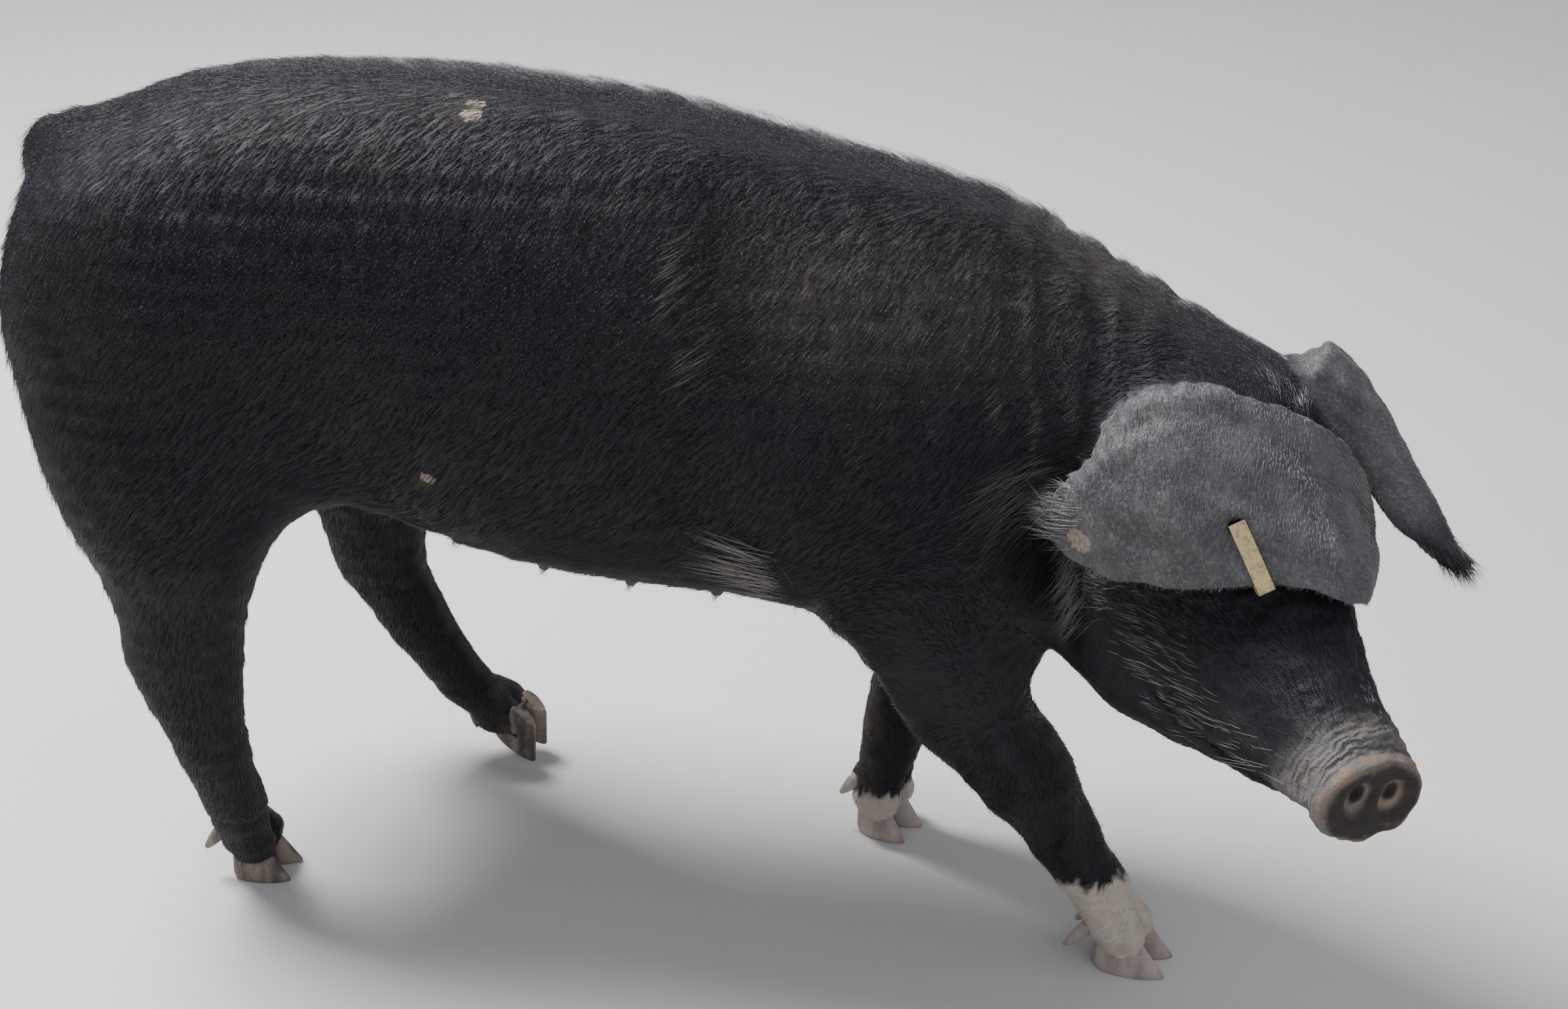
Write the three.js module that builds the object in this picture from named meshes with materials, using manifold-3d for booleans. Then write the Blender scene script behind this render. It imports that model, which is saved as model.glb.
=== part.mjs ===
// A young black lop-eared pig, life size, walking with its head turned to its right.
// Millimetres. +X is the way the pig walks, +Y is its left, +Z is up, and the floor is z = 0.
//
// The whole body is one smooth field of distance, made of tapered tubes that melt into one another.
// Each sub-part is the skin of that field, meshed as finely as the sub-part needs, and cut from its
// neighbours along flat planes.

import * as THREE from "three";
import { mergeVertices } from "three/addons/utils/BufferGeometryUtils.js";
import Module from "manifold-3d";

const wasm = await Module();
wasm.setup();

// ---------------------------------------------------------------- driving dimensions

const GAP = 0.3; // clear gap between neighbouring sub-parts
const EAR_CLEAR = 0.8; // clear gap round the root of an ear
const SLIVER = 0.05; // cuts leave no edge or face finer than this
const FAR = 2000; // longer than the whole animal

// Stations of the trunk, from the buttocks to the breast:
// place along X, top, bottom, half width, and how far the section leans to the left.
const TRUNK = [
  { x: -492, top: 580, bottom: 388, half: 96, lean: 0 },
  { x: -440, top: 603, bottom: 352, half: 120, lean: 0 },
  { x: -380, top: 614, bottom: 330, half: 133, lean: 0 },
  { x: -300, top: 621, bottom: 303, half: 137, lean: 0 },
  { x: -200, top: 622, bottom: 270, half: 139, lean: 0 },
  { x: -100, top: 613, bottom: 261, half: 141, lean: 0 },
  { x: -20, top: 597, bottom: 262, half: 141, lean: 0 },
  { x: 60, top: 575, bottom: 270, half: 136, lean: -1 },
  { x: 120, top: 552, bottom: 288, half: 124, lean: -3 },
];
const TRUNK_ROUND = { back: 62, front: 62 }; // how far the trunk bulges past its end stations
const TRUNK_SQUARE = 2.25; // 2 is an ellipse, more is squarer

// The neck: centres of its balls, with their height and half width.
const NECK = [
  { at: [95, -2, 420], deep: 138, wide: 118 },
  { at: [165, -12, 408], deep: 130, wide: 106 },
  { at: [224, -34, 404], deep: 116, wide: 94 },
  { at: [274, -62, 404], deep: 100, wide: 86 },
];

// The head turns to the right and looks down.
const HEAD_AT = [290, -52, 433]; // the middle of the skull, between the ears
const HEAD_YAW = -58; // degrees
const HEAD_PITCH = 25.5; // degrees below level
const HEAD_ROLL = -14; // degrees
// Stations of the head from its back to the snout: place along the head, middle height,
// half height, half width and squareness of the section.
const HEAD = [
  { x: -18, mid: -42, tall: 94, wide: 80, square: 2.2 },
  { x: 30, mid: -64, tall: 115, wide: 88, square: 2.2 },
  { x: 78, mid: -74, tall: 112, wide: 84, square: 2.2 },
  { x: 124, mid: -70, tall: 94, wide: 69, square: 2.2 },
  { x: 170, mid: -57, tall: 73, wide: 53, square: 2.2 },
  { x: 212, mid: -43, tall: 54, wide: 43, square: 2.2 },
  { x: 246, mid: -31, tall: 40, wide: 38, square: 2.2 },
  { x: 266, mid: -25, tall: 33, wide: 37, square: 2.2 },
];
const HEAD_ROUND = { back: 26, front: 8 }; // how far the head bulges past its end stations
// The snout's flat disc, tilted back, and its nostrils in the disc's own frame.
const DISC = { at: [272, 0, -25], half: [9, 40, 34], square: 3, tilt: 17 };
const NOSTRIL = { at: [9, 13, 4], half: [13, 6, 8] };
const EYE = { at: [105, 57, -8], radius: 11.5 };

// Limbs: the chain of centres, the radius fore and aft, and the half width.
const FORE_RIGHT = [
  { at: [62, -96, 400], deep: 92, wide: 46 },
  { at: [112, -98, 300], deep: 60, wide: 44 },
  { at: [136, -88, 232], deep: 46, wide: 37 },
  { at: [182, -74, 160], deep: 34, wide: 30 },
  { at: [210, -66, 112], deep: 27, wide: 25 },
  { at: [236, -60, 64], deep: 24, wide: 23 },
];
const FORE_LEFT = [
  { at: [60, 96, 400], deep: 90, wide: 46 },
  { at: [94, 98, 300], deep: 56, wide: 44 },
  { at: [96, 88, 228], deep: 40, wide: 36 },
  { at: [82, 80, 160], deep: 31, wide: 29 },
  { at: [66, 77, 108], deep: 26, wide: 24 },
  { at: [57, 76, 58], deep: 23, wide: 22 },
];
const HIND_RIGHT = [
  { at: [-430, -86, 444], deep: 122, wide: 56 },
  { at: [-430, -96, 352], deep: 101, wide: 54 },
  { at: [-428, -101, 290], deep: 69, wide: 47 },
  { at: [-426, -104, 232], deep: 45, wide: 35 },
  { at: [-426, -105, 185], deep: 41, wide: 29 },
  { at: [-414, -106, 130], deep: 28, wide: 25 },
  { at: [-404, -92, 62], deep: 24, wide: 23 },
];
const HIND_LEFT = [
  { at: [-390, 92, 440], deep: 106, wide: 56 },
  { at: [-376, 100, 345], deep: 88, wide: 52 },
  { at: [-362, 104, 275], deep: 58, wide: 45 },
  { at: [-358, 108, 215], deep: 42, wide: 34 },
  { at: [-356, 110, 178], deep: 36, wide: 28 },
  { at: [-330, 110, 126], deep: 27, wide: 25 },
  { at: [-294, 110, 70], deep: 22, wide: 21 },
];

// The tail hangs to the left of the rump.
const TAIL = [
  { at: [-500, 2, 550], radius: 19 },
  { at: [-536, 10, 550], radius: 16 },
  { at: [-558, 26, 526], radius: 13 },
  { at: [-565, 44, 486], radius: 10.5 },
  { at: [-562, 58, 444], radius: 8.5 },
  { at: [-555, 67, 404], radius: 6.5 },
  { at: [-550, 72, 374], radius: 4.5 },
];

// Ears, in the head's frame: rows from the root to the tip, each with its rear edge,
// its middle and its front edge, and the thickness there.
const EAR_RIGHT = [
  { rear: [20, -84, 4], mid: [22, -70, 36], front: [34, -42, 46], thick: 16 },
  { rear: [22, -94, 12], mid: [18, -84, 54], front: [40, -44, 76], thick: 12 },
  { rear: [36, -126, -30], mid: [48, -86, 50], front: [54, -8, 80], thick: 9 },
  { rear: [60, -112, -55], mid: [80, -76, 48], front: [62, 34, 66], thick: 7 },
  { rear: [104, -98, -32], mid: [106, -45, 50], front: [78, 60, 44], thick: 6 },
  { rear: [137, -67, 6], mid: [128, -2, 50], front: [96, 68, 24], thick: 5.5 },
  { rear: [151, -28, 28], mid: [148, 20, 40], front: [122, 62, 10], thick: 5 },
  { rear: [172, 2, 31], mid: [168, 18, 28], front: [152, 42, 10], thick: 4 },
];
const EAR_LEFT = [
  { rear: [-2, 62, 8], mid: [2, 50, 34], front: [24, 24, 38], thick: 18 },
  { rear: [-8, 82, 22], mid: [-8, 54, 70], front: [20, 34, 60], thick: 15 },
  { rear: [28, 102, 8], mid: [26, 74, 64], front: [44, 50, 44], thick: 10 },
  { rear: [68, 122, -8], mid: [66, 94, 50], front: [74, 68, 30], thick: 7 },
  { rear: [102, 129, -6], mid: [100, 104, 42], front: [100, 80, 22], thick: 5.5 },
  { rear: [126, 124, 8], mid: [125, 107, 36], front: [120, 92, 24], thick: 5 },
  { rear: [143, 121, 26], mid: [143, 115, 36], front: [140, 107, 30], thick: 4 },
];
const EAR_STEPS = { along: 11, across: 7 };
// The ear tag is a closed strip through a hole and round the ear's edge. The hole and the edge
// are shares of the way along the ear and across it.
const TAG_HOLE = { along: 0.6, across: 0.36, radius: 5.5 };
const TAG_EDGE = { along: 0.8, across: 0 };
const TAG = { above: 3, past: 2, wide: 11, open: 8, thick: 1.6 };

// Feet: the middle of the sole, the way the toes point, the length of the claws,
// and, in the foot's own frame, where a dewclaw starts and ends.
const CLAW = { wide: 22, tall: 27, apart: 12, splay: 3, points: 10 };
const DEWCLAW = { radius: 7, apart: 15 };
const FEET = {
  fore_right: { at: [264, -56, 0], yaw: -8, pitch: 0, long: 58, dew: [-28, 38, -48, 14] },
  fore_left: { at: [62, 76, 0], yaw: -22, pitch: 0, long: 47, dew: [-20, 48, -36, 28] },
  hind_right: { at: [-392, -76, 0], yaw: 0, pitch: 0, long: 50, dew: [-26, 44, -42, 24] },
  hind_left: { at: [-249, 110, 22], yaw: -4, pitch: 40, long: 50, dew: [-44, 6, -30, -8], lifted: true },
};
// The middles of a toe's flesh at its heel and over its claw, in the foot's own XZ.
const TOE_FLESH = {
  flat: { heel: [-9, 28], toe: [-1, 21] },
  lifted: { heel: [-26, 11], toe: [-6, 15] },
};
const LIMBS = {
  fore_right: FORE_RIGHT,
  fore_left: FORE_LEFT,
  hind_right: HIND_RIGHT,
  hind_left: HIND_LEFT,
};

// Where the sub-parts are parted.
const NECK_CUT = { at: [140, -4, 420], normal: [1, -0.15, 0] };
const HEAD_CUT = { at: [4, 0, 0], normal: [1, 0, 0] }; // in the head's frame
const THROAT_CUT = { at: [4, 0, -70], normal: [0.75, 0, 0.66] }; // in the head's frame
const SNOUT_CUT_X = 240; // along the head
const LEG_TOP = 250; // height of the cut through the forelegs and hind legs
const LEG_BOXES = {
  fore_right: [30, -170, 330, -26],
  fore_left: [10, 26, 160, 170],
  hind_right: [-520, -180, -330, -26],
  hind_left: [-470, 26, -190, 180],
};

const BLEND_NECK = 60;
const BLEND_HEAD = 34;
const BLEND_LIMB = 38;
const BLEND_CHAIN = 14;
const BLEND_SMALL = 7;

// Mesh cell for each kind of sub-part.
const CELL = { trunk: 41, neck: 38, head: 24, snout: 15, leg: 25, foot: 16 };

// ---------------------------------------------------------------- fields of distance

const lerp = (a, b, t) => a + (b - a) * t;
const clamp = (v, low, high) => Math.min(high, Math.max(low, v));

// Joins two distances with a fillet of about the given size.
function melt(a, b, size) {
  const h = Math.max(size - Math.abs(a - b), 0) / size;
  return Math.min(a, b) - h * h * size * 0.25;
}

// Smooth value between four neighbours, the usual Catmull-Rom cubic.
function cubic(p0, p1, p2, p3, t) {
  const a = 2 * p1;
  const b = (p2 - p0) * t;
  const c = (2 * p0 - 5 * p1 + 4 * p2 - p3) * t * t;
  const d = (3 * p1 - p0 - 3 * p2 + p3) * t * t * t;
  return 0.5 * (a + b + c + d);
}

// The station at x, worked out smoothly from the list.
function stationAt(stations, x) {
  let i = 0;
  while (i < stations.length - 2 && x > stations[i + 1].x) i += 1;
  const pick = (k) => stations[clamp(k, 0, stations.length - 1)];
  const [s0, s1, s2, s3] = [pick(i - 1), pick(i), pick(i + 1), pick(i + 2)];
  const t = clamp((x - s1.x) / (s2.x - s1.x), 0, 1);
  const value = (key) => cubic(s0[key], s1[key], s2[key], s3[key], t);
  return value;
}

// Distance to a tube round the X axis. The section gives its middle and half sizes at a station.
function tube(stations, section, round, p) {
  const first = stations[0].x;
  const last = stations[stations.length - 1].x;
  const x = clamp(p.x, first, last);
  const { midY, midZ, wide, tall, square } = section(stationAt(stations, x));
  const vx = p.x - x;
  const vy = p.y - midY;
  const vz = p.z - midZ;
  const ratio =
    Math.abs(vx / (vx < 0 ? round.back : round.front)) ** square +
    Math.abs(vy / wide) ** square +
    Math.abs(vz / tall) ** square;
  const rho = Math.max(ratio ** (1 / square), 1e-3);
  const length = Math.max(Math.hypot(vx, vy, vz), 1e-3);
  return length * (1 - 1 / rho);
}

function trunkField(p) {
  const section = (value) => ({
    midY: value("lean"),
    midZ: (value("top") + value("bottom")) / 2,
    wide: value("half"),
    tall: (value("top") - value("bottom")) / 2,
    square: TRUNK_SQUARE,
  });
  return tube(TRUNK, section, TRUNK_ROUND, p);
}

// Distance to a rounded box: square 2 is an ellipsoid.
function lumpField({ at, half, square = 2 }, p) {
  const v = [p.x - at[0], p.y - at[1], p.z - at[2]];
  const ratio = v.reduce((sum, value, k) => sum + Math.abs(value / half[k]) ** square, 0);
  const rho = Math.max(ratio ** (1 / square), 1e-3);
  return Math.max(Math.hypot(...v), 1e-3) * (1 - 1 / rho);
}

// Distance to a chain of balls joined by cones, flattened sideways.
function chainField(chain, p) {
  let best = FAR;
  for (let i = 0; i + 1 < chain.length; i += 1) {
    const [a, b] = [chain[i], chain[i + 1]];
    const along = b.at.map((value, k) => value - a.at[k]);
    const size = along[0] ** 2 + along[1] ** 2 + along[2] ** 2;
    const dot =
      (p.x - a.at[0]) * along[0] + (p.y - a.at[1]) * along[1] + (p.z - a.at[2]) * along[2];
    const t = clamp(dot / size, 0, 1);
    const at = a.at.map((value, k) => value + along[k] * t);
    const deep = lerp(a.deep, b.deep, t);
    const wide = lerp(a.wide, b.wide, t);
    best = melt(best, lumpField({ at, half: [deep, wide, deep] }, p), BLEND_CHAIN);
  }
  return best;
}

// The head's own frame: X along the head to the snout, Y to its left, Z to its brow.
const headTurn = new THREE.Matrix4().makeRotationFromEuler(
  new THREE.Euler(
    THREE.MathUtils.degToRad(HEAD_ROLL),
    THREE.MathUtils.degToRad(HEAD_PITCH),
    THREE.MathUtils.degToRad(HEAD_YAW),
    "ZYX",
  ),
);
const headFrame = new THREE.Matrix4().makeTranslation(...HEAD_AT).multiply(headTurn);
const headInverse = headFrame.clone().invert();
const toHead = new THREE.Vector3();
const discFrame = new THREE.Matrix4().makeRotationY(-THREE.MathUtils.degToRad(DISC.tilt));
discFrame.setPosition(...DISC.at);
const discInverse = discFrame.clone().invert();
const toDisc = new THREE.Vector3();

function headField(p) {
  toHead.copy(p).applyMatrix4(headInverse);
  const section = (value) => ({
    midY: 0,
    midZ: value("mid"),
    wide: value("wide"),
    tall: value("tall"),
    square: value("square"),
  });
  toDisc.copy(toHead).applyMatrix4(discInverse);
  const disc = lumpField({ ...DISC, at: [0, 0, 0] }, toDisc);
  return melt(tube(HEAD, section, HEAD_ROUND, toHead), disc, BLEND_SMALL);
}

// A foot's own frame: X to the toes, Y to its left, Z up from the sole.
function footFrame({ at, yaw, pitch }) {
  const turn = new THREE.Euler(
    0,
    THREE.MathUtils.degToRad(pitch),
    THREE.MathUtils.degToRad(yaw),
    "ZYX",
  );
  const frame = new THREE.Matrix4().makeRotationFromEuler(turn);
  return new THREE.Matrix4().makeTranslation(...at).multiply(frame);
}

// The flesh of the two toes and the two dewclaws, in the animal's frame.
function toesOf(name) {
  const foot = FEET[name];
  const frame = footFrame(foot);
  const place = (...at) => new THREE.Vector3(...at).applyMatrix4(frame).toArray();
  const ankle = LIMBS[name].at(-1);
  const [dewX, dewZ] = foot.dew;
  const { heel, toe } = foot.lifted ? TOE_FLESH.lifted : TOE_FLESH.flat;
  return [-1, 1].flatMap((side) => [
    [
      { at: ankle.at, deep: ankle.deep * 0.8, wide: ankle.wide * 0.75 },
      { at: place(heel[0], side * CLAW.apart, heel[1]), deep: 15.5, wide: 13 },
      { at: place(toe[0], side * CLAW.apart, toe[1]), deep: 14, wide: 12 },
    ],
    [
      { at: ankle.at, deep: ankle.deep * 0.6, wide: ankle.wide * 0.5 },
      { at: place(dewX, side * DEWCLAW.apart, dewZ), deep: 10, wide: 9 },
    ],
  ]);
}
const TOES = Object.keys(FEET).flatMap(toesOf);

// The trunk, neck and limbs, and then the whole body.
function torsoField(p) {
  let d = melt(trunkField(p), chainField(NECK, p), BLEND_NECK);
  for (const limb of Object.values(LIMBS)) d = melt(d, chainField(limb, p), BLEND_LIMB);
  if (p.z > 130) return d;
  for (const toe of TOES) d = melt(d, chainField(toe, p), BLEND_SMALL);
  return d;
}

const bodyField = (p) => melt(torsoField(p), headField(p), BLEND_HEAD);

// ---------------------------------------------------------------- meshing

const probe = new THREE.Vector3();

// The field's slope at a point, by differences.
function slopeOf(field, p, out) {
  const step = 0.5;
  const sample = (dx, dy, dz) => field(probe.set(p.x + dx, p.y + dy, p.z + dz));
  out.set(
    sample(step, 0, 0) - sample(-step, 0, 0),
    sample(0, step, 0) - sample(0, -step, 0),
    sample(0, 0, step) - sample(0, 0, -step),
  );
  return out.divideScalar(2 * step);
}

// A closed mesh of the places where the field is zero, inside the box low..high,
// made of one point in each cell that the surface crosses.
function skinOf(field, low, high, cell) {
  const count = [0, 1, 2].map((k) => Math.ceil((high[k] - low[k]) / cell) + 1);
  const [nx, ny, nz] = count;
  const index = (i, j, k) => (k * ny + j) * nx + i;
  const value = new Float64Array(nx * ny * nz);
  for (let k = 0; k < nz; k += 1)
    for (let j = 0; j < ny; j += 1)
      for (let i = 0; i < nx; i += 1) {
        const edge = i === 0 || j === 0 || k === 0 || i === nx - 1 || j === ny - 1 || k === nz - 1;
        probe.set(low[0] + i * cell, low[1] + j * cell, low[2] + k * cell);
        const here = field(probe);
        value[index(i, j, k)] = edge ? Math.max(here, 0.5 * cell) : here;
      }

  const points = [];
  const pointOf = new Int32Array(nx * ny * nz).fill(-1);
  const slope = new THREE.Vector3();
  for (let k = 0; k < nz - 1; k += 1)
    for (let j = 0; j < ny - 1; j += 1)
      for (let i = 0; i < nx - 1; i += 1) {
        const sum = new THREE.Vector3();
        let hits = 0;
        for (let axis = 0; axis < 3; axis += 1)
          for (let side = 0; side < 4; side += 1) {
            const from = [i, j, k];
            from[(axis + 1) % 3] += side & 1;
            from[(axis + 2) % 3] += side >> 1;
            const to = [...from];
            to[axis] += 1;
            const a = value[index(...from)];
            const b = value[index(...to)];
            if (a < 0 === b < 0) continue;
            from[axis] += a / (a - b);
            sum.add(new THREE.Vector3(...from));
            hits += 1;
          }
        if (!hits) continue;
        const p = sum.divideScalar(hits).multiplyScalar(cell).add(new THREE.Vector3(...low));
        const start = p.clone();
        for (let step = 0; step < 3; step += 1) {
          slopeOf(field, p, slope);
          p.addScaledVector(slope, -field(probe.copy(p)) / Math.max(slope.lengthSq(), 0.1));
        }
        const boundary = [i, j, k].some((v, axis) => v === 0 || v === count[axis] - 2);
        if (boundary || p.distanceTo(start) > 0.6 * cell) p.copy(start);
        pointOf[index(i, j, k)] = points.length;
        points.push(p);
      }

  const faces = [];
  for (let k = 0; k < nz; k += 1)
    for (let j = 0; j < ny; j += 1)
      for (let i = 0; i < nx; i += 1)
        for (let axis = 0; axis < 3; axis += 1) {
          const to = [i, j, k];
          to[axis] += 1;
          if (to[axis] >= count[axis]) continue;
          const a = value[index(i, j, k)] < 0;
          const b = value[index(...to)] < 0;
          if (a === b) continue;
          const around = [
            [0, 0],
            [1, 0],
            [1, 1],
            [0, 1],
          ].map(([u, v]) => {
            const at = [i, j, k];
            at[(axis + 1) % 3] -= u;
            at[(axis + 2) % 3] -= v;
            return pointOf[index(...at)];
          });
          const [p0, p1, p2, p3] = a ? around : around.reverse();
          const across = points[p0].distanceTo(points[p2]);
          const other = points[p1].distanceTo(points[p3]);
          if (across < other) faces.push(p0, p1, p2, p0, p2, p3);
          else faces.push(p1, p2, p3, p1, p3, p0);
        }
  return solidOf(
    points.flatMap((p) => [p.x, p.y, p.z]),
    faces,
  );
}

function solidOf(positions, faces) {
  return new wasm.Manifold(
    new wasm.Mesh({
      numProp: 3,
      vertProperties: new Float32Array(positions),
      triVerts: new Uint32Array(faces),
    }),
  );
}

// A solid of a three.js geometry, with its doubled points merged.
function solidFrom(geometry) {
  const bare = new THREE.BufferGeometry();
  bare.setAttribute("position", geometry.getAttribute("position"));
  bare.setIndex(geometry.index);
  const merged = mergeVertices(bare, 1e-3);
  const order = merged.index.array;
  const faces = [];
  for (let i = 0; i < order.length; i += 3) {
    const [a, b, c] = [order[i], order[i + 1], order[i + 2]];
    if (a !== b && b !== c && c !== a) faces.push(a, b, c);
  }
  return solidOf(merged.getAttribute("position").array, faces);
}

// The block of space behind a plane, whose normal points away from it, short of it by the gap.
function behind(at, normal, gap = GAP / 2) {
  const out = new THREE.Vector3(...normal).normalize();
  const block = new THREE.BoxGeometry(FAR, FAR, FAR);
  block.translate(0, 0, -FAR / 2 - gap);
  block.applyQuaternion(new THREE.Quaternion().setFromUnitVectors(new THREE.Vector3(0, 0, 1), out));
  block.translate(...at);
  return solidFrom(block);
}

// The block of space on the side that the normal points to.
function before(at, normal, gap = GAP / 2) {
  return behind(
    at,
    normal.map((value) => -value),
    gap,
  );
}

// A box between two heights and inside x0, y0, x1, y1, grown on every side.
function boxSolid([x0, y0, x1, y1], z0, z1, grow = 0) {
  const box = new THREE.BoxGeometry(x1 - x0 + 2 * grow, y1 - y0 + 2 * grow, z1 - z0 + 2 * grow);
  box.translate((x0 + x1) / 2, (y0 + y1) / 2, (z0 + z1) / 2);
  return solidFrom(box);
}

// A closed solid through rings of the same number of points, capped at both ends.
function loft(rings) {
  const points = rings.flat();
  const count = rings[0].length;
  const positions = points.flatMap((p) => [p.x, p.y, p.z]);
  const faces = [];
  for (let i = 0; i + 1 < rings.length; i += 1)
    for (let j = 0; j < count; j += 1) {
      const a = i * count + j;
      const b = i * count + ((j + 1) % count);
      faces.push(a, b, b + count, a, b + count, a + count);
    }
  for (const [start, flip] of [
    [0, true],
    [(rings.length - 1) * count, false],
  ]) {
    const middle = new THREE.Vector3();
    for (let j = 0; j < count; j += 1) middle.add(points[start + j]);
    middle.divideScalar(count);
    const centre = positions.length / 3;
    positions.push(middle.x, middle.y, middle.z);
    for (let j = 0; j < count; j += 1) {
      const a = start + j;
      const b = start + ((j + 1) % count);
      faces.push(...(flip ? [centre, b, a] : [centre, a, b]));
    }
  }
  const solid = solidOf(positions, faces);
  return solid.volume() < 0 ? solidOf(positions, faces.reverse()) : solid;
}

// ---------------------------------------------------------------- claws, tail, ears, eyes, tag

// One main claw in the foot's frame. Its side is -1 or 1, and it can be grown as a cutter.
function clawSolid(foot, side, grow) {
  const frame = footFrame(foot);
  const splay = THREE.MathUtils.degToRad(side * CLAW.splay);
  const levels = [0, 0.1, 0.4, 0.7, 1];
  const rings = levels.map((level, number) => {
    const toe = foot.long / 2 - 3 * (number === 0) - 21 * level + grow;
    const heel = -foot.long / 2 + 2 * (number === 0) + 3 * level - grow;
    const half = CLAW.wide / 2 - 1.5 * (number === 0) - 1.5 * level + grow;
    const z = CLAW.tall * level + (number === 0 ? -grow : 0) + (number === 4 ? grow : 0);
    return Array.from({ length: CLAW.points }, (_, i) => {
      const angle = (2 * Math.PI * i) / CLAW.points;
      const x = (toe + heel) / 2 + ((toe - heel) / 2) * Math.cos(angle);
      const y = half * Math.sin(angle) * (1 - 0.34 * Math.cos(angle));
      const turned = new THREE.Vector3(x, y, z).applyAxisAngle(new THREE.Vector3(0, 0, 1), splay);
      turned.y += side * CLAW.apart;
      return turned.applyMatrix4(frame);
    });
  });
  return loft(rings);
}

// A round tapered solid along centres, in the frame of the given matrix.
function taperSolid(spine, frame, points, grow) {
  const curve = new THREE.CatmullRomCurve3(spine.map(({ at }) => new THREE.Vector3(...at)));
  const steps = (spine.length - 1) * 2;
  const frames = curve.computeFrenetFrames(steps, false);
  const rings = Array.from({ length: steps + 1 }, (_, i) => {
    const share = (i / steps) * (spine.length - 1);
    const first = Math.min(Math.floor(share), spine.length - 2);
    const radius = lerp(spine[first].radius, spine[first + 1].radius, share - first) + grow;
    const centre = curve.getPointAt(i / steps);
    const push = (i === 0 ? -grow : 0) + (i === steps ? grow : 0);
    centre.addScaledVector(frames.tangents[i], push);
    return Array.from({ length: points }, (_, j) => {
      const angle = (2 * Math.PI * j) / points;
      return centre
        .clone()
        .addScaledVector(frames.normals[i], radius * Math.cos(angle))
        .addScaledVector(frames.binormals[i], radius * Math.sin(angle))
        .applyMatrix4(frame);
    });
  });
  return loft(rings);
}

function dewclawSolid(foot, side, grow) {
  const [rootX, rootZ, tipX, tipZ] = foot.dew;
  const y = side * DEWCLAW.apart;
  const spine = [
    { at: [rootX, y, rootZ], radius: DEWCLAW.radius },
    { at: [lerp(rootX, tipX, 0.5), y + side, lerp(rootZ, tipZ, 0.5)], radius: DEWCLAW.radius - 1 },
    { at: [tipX, y + side * 2, tipZ], radius: 2 },
  ];
  return taperSolid(spine, footFrame(foot), 6, grow);
}

// A point of the ear's middle surface, its outward normal and its thickness.
// Along runs from root to tip, and across from the rear edge to the front edge, both 0 to 1.
function earPoint(rows, along, across) {
  const share = along * (rows.length - 1);
  const first = Math.min(Math.floor(share), rows.length - 2);
  const pick = (k) => rows[clamp(k, 0, rows.length - 1)];
  const four = [pick(first - 1), pick(first), pick(first + 1), pick(first + 2)];
  const value = (key, k) => cubic(...four.map((row) => row[key][k]), share - first);
  const at = [0, 1, 2].map((k) => {
    const [rear, mid, front] = [value("rear", k), value("mid", k), value("front", k)];
    // a parabola through the three points of the row
    const t = across;
    return rear * (1 - t) * (1 - 2 * t) + mid * 4 * t * (1 - t) + front * t * (2 * t - 1);
  });
  const thick = cubic(...four.map((row) => row.thick), share - first);
  return { at: new THREE.Vector3(...at), thick };
}

function earNormal(rows, along, across, side) {
  const step = 0.01;
  const a = earPoint(rows, clamp(along - step, 0, 1), across).at;
  const b = earPoint(rows, clamp(along + step, 0, 1), across).at;
  const c = earPoint(rows, along, clamp(across - step, 0, 1)).at;
  const d = earPoint(rows, along, clamp(across + step, 0, 1)).at;
  return b.sub(a).cross(d.sub(c)).normalize().multiplyScalar(-side);
}

function earSolid(rows, side, grow, shift = [0, 0, 0]) {
  const by = new THREE.Vector3(...shift);
  const { along, across } = EAR_STEPS;
  const rings = Array.from({ length: along + 1 }, (_, i) => {
    const outer = [];
    const inner = [];
    const u = i / along;
    const sideways = earPoint(rows, u, 1).at.sub(earPoint(rows, u, 0).at).normalize();
    const ahead = earPoint(rows, Math.min(u + 0.02, 1), 0.5).at;
    ahead.sub(earPoint(rows, Math.max(u - 0.02, 0), 0.5).at).normalize();
    const past = grow * ((i === along) - (i === 0)); // the two ends grow as well
    for (let j = 0; j <= across; j += 1) {
      const v = j / across;
      const { at, thick } = earPoint(rows, u, v);
      const edge = Math.sqrt(Math.max(0, 1 - (2 * v - 1) ** 6)); // thin towards both edges
      const half = (thick / 2) * lerp(0.35, 1, edge) + grow;
      const normal = earNormal(rows, u, v, side);
      at.addScaledVector(sideways, (2 * v - 1) * grow).addScaledVector(ahead, past).add(by);
      outer.push(at.clone().addScaledVector(normal, half).applyMatrix4(headFrame));
      inner.push(at.clone().addScaledVector(normal, -half).applyMatrix4(headFrame));
    }
    return [...outer, ...inner.reverse()];
  });
  return loft(rings);
}

function eyeSolid(side, grow) {
  const ball = new THREE.SphereGeometry(EYE.radius + grow, 8, 6);
  ball.translate(EYE.at[0], side * EYE.at[1], EYE.at[2]);
  return solidFrom(ball.applyMatrix4(headFrame));
}

function nostrilSolid(side) {
  const ball = new THREE.SphereGeometry(1, 10, 8);
  ball.scale(...NOSTRIL.half);
  ball.translate(NOSTRIL.at[0], side * NOSTRIL.at[1], NOSTRIL.at[2]);
  return solidFrom(ball.applyMatrix4(discFrame).applyMatrix4(headFrame));
}

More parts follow.
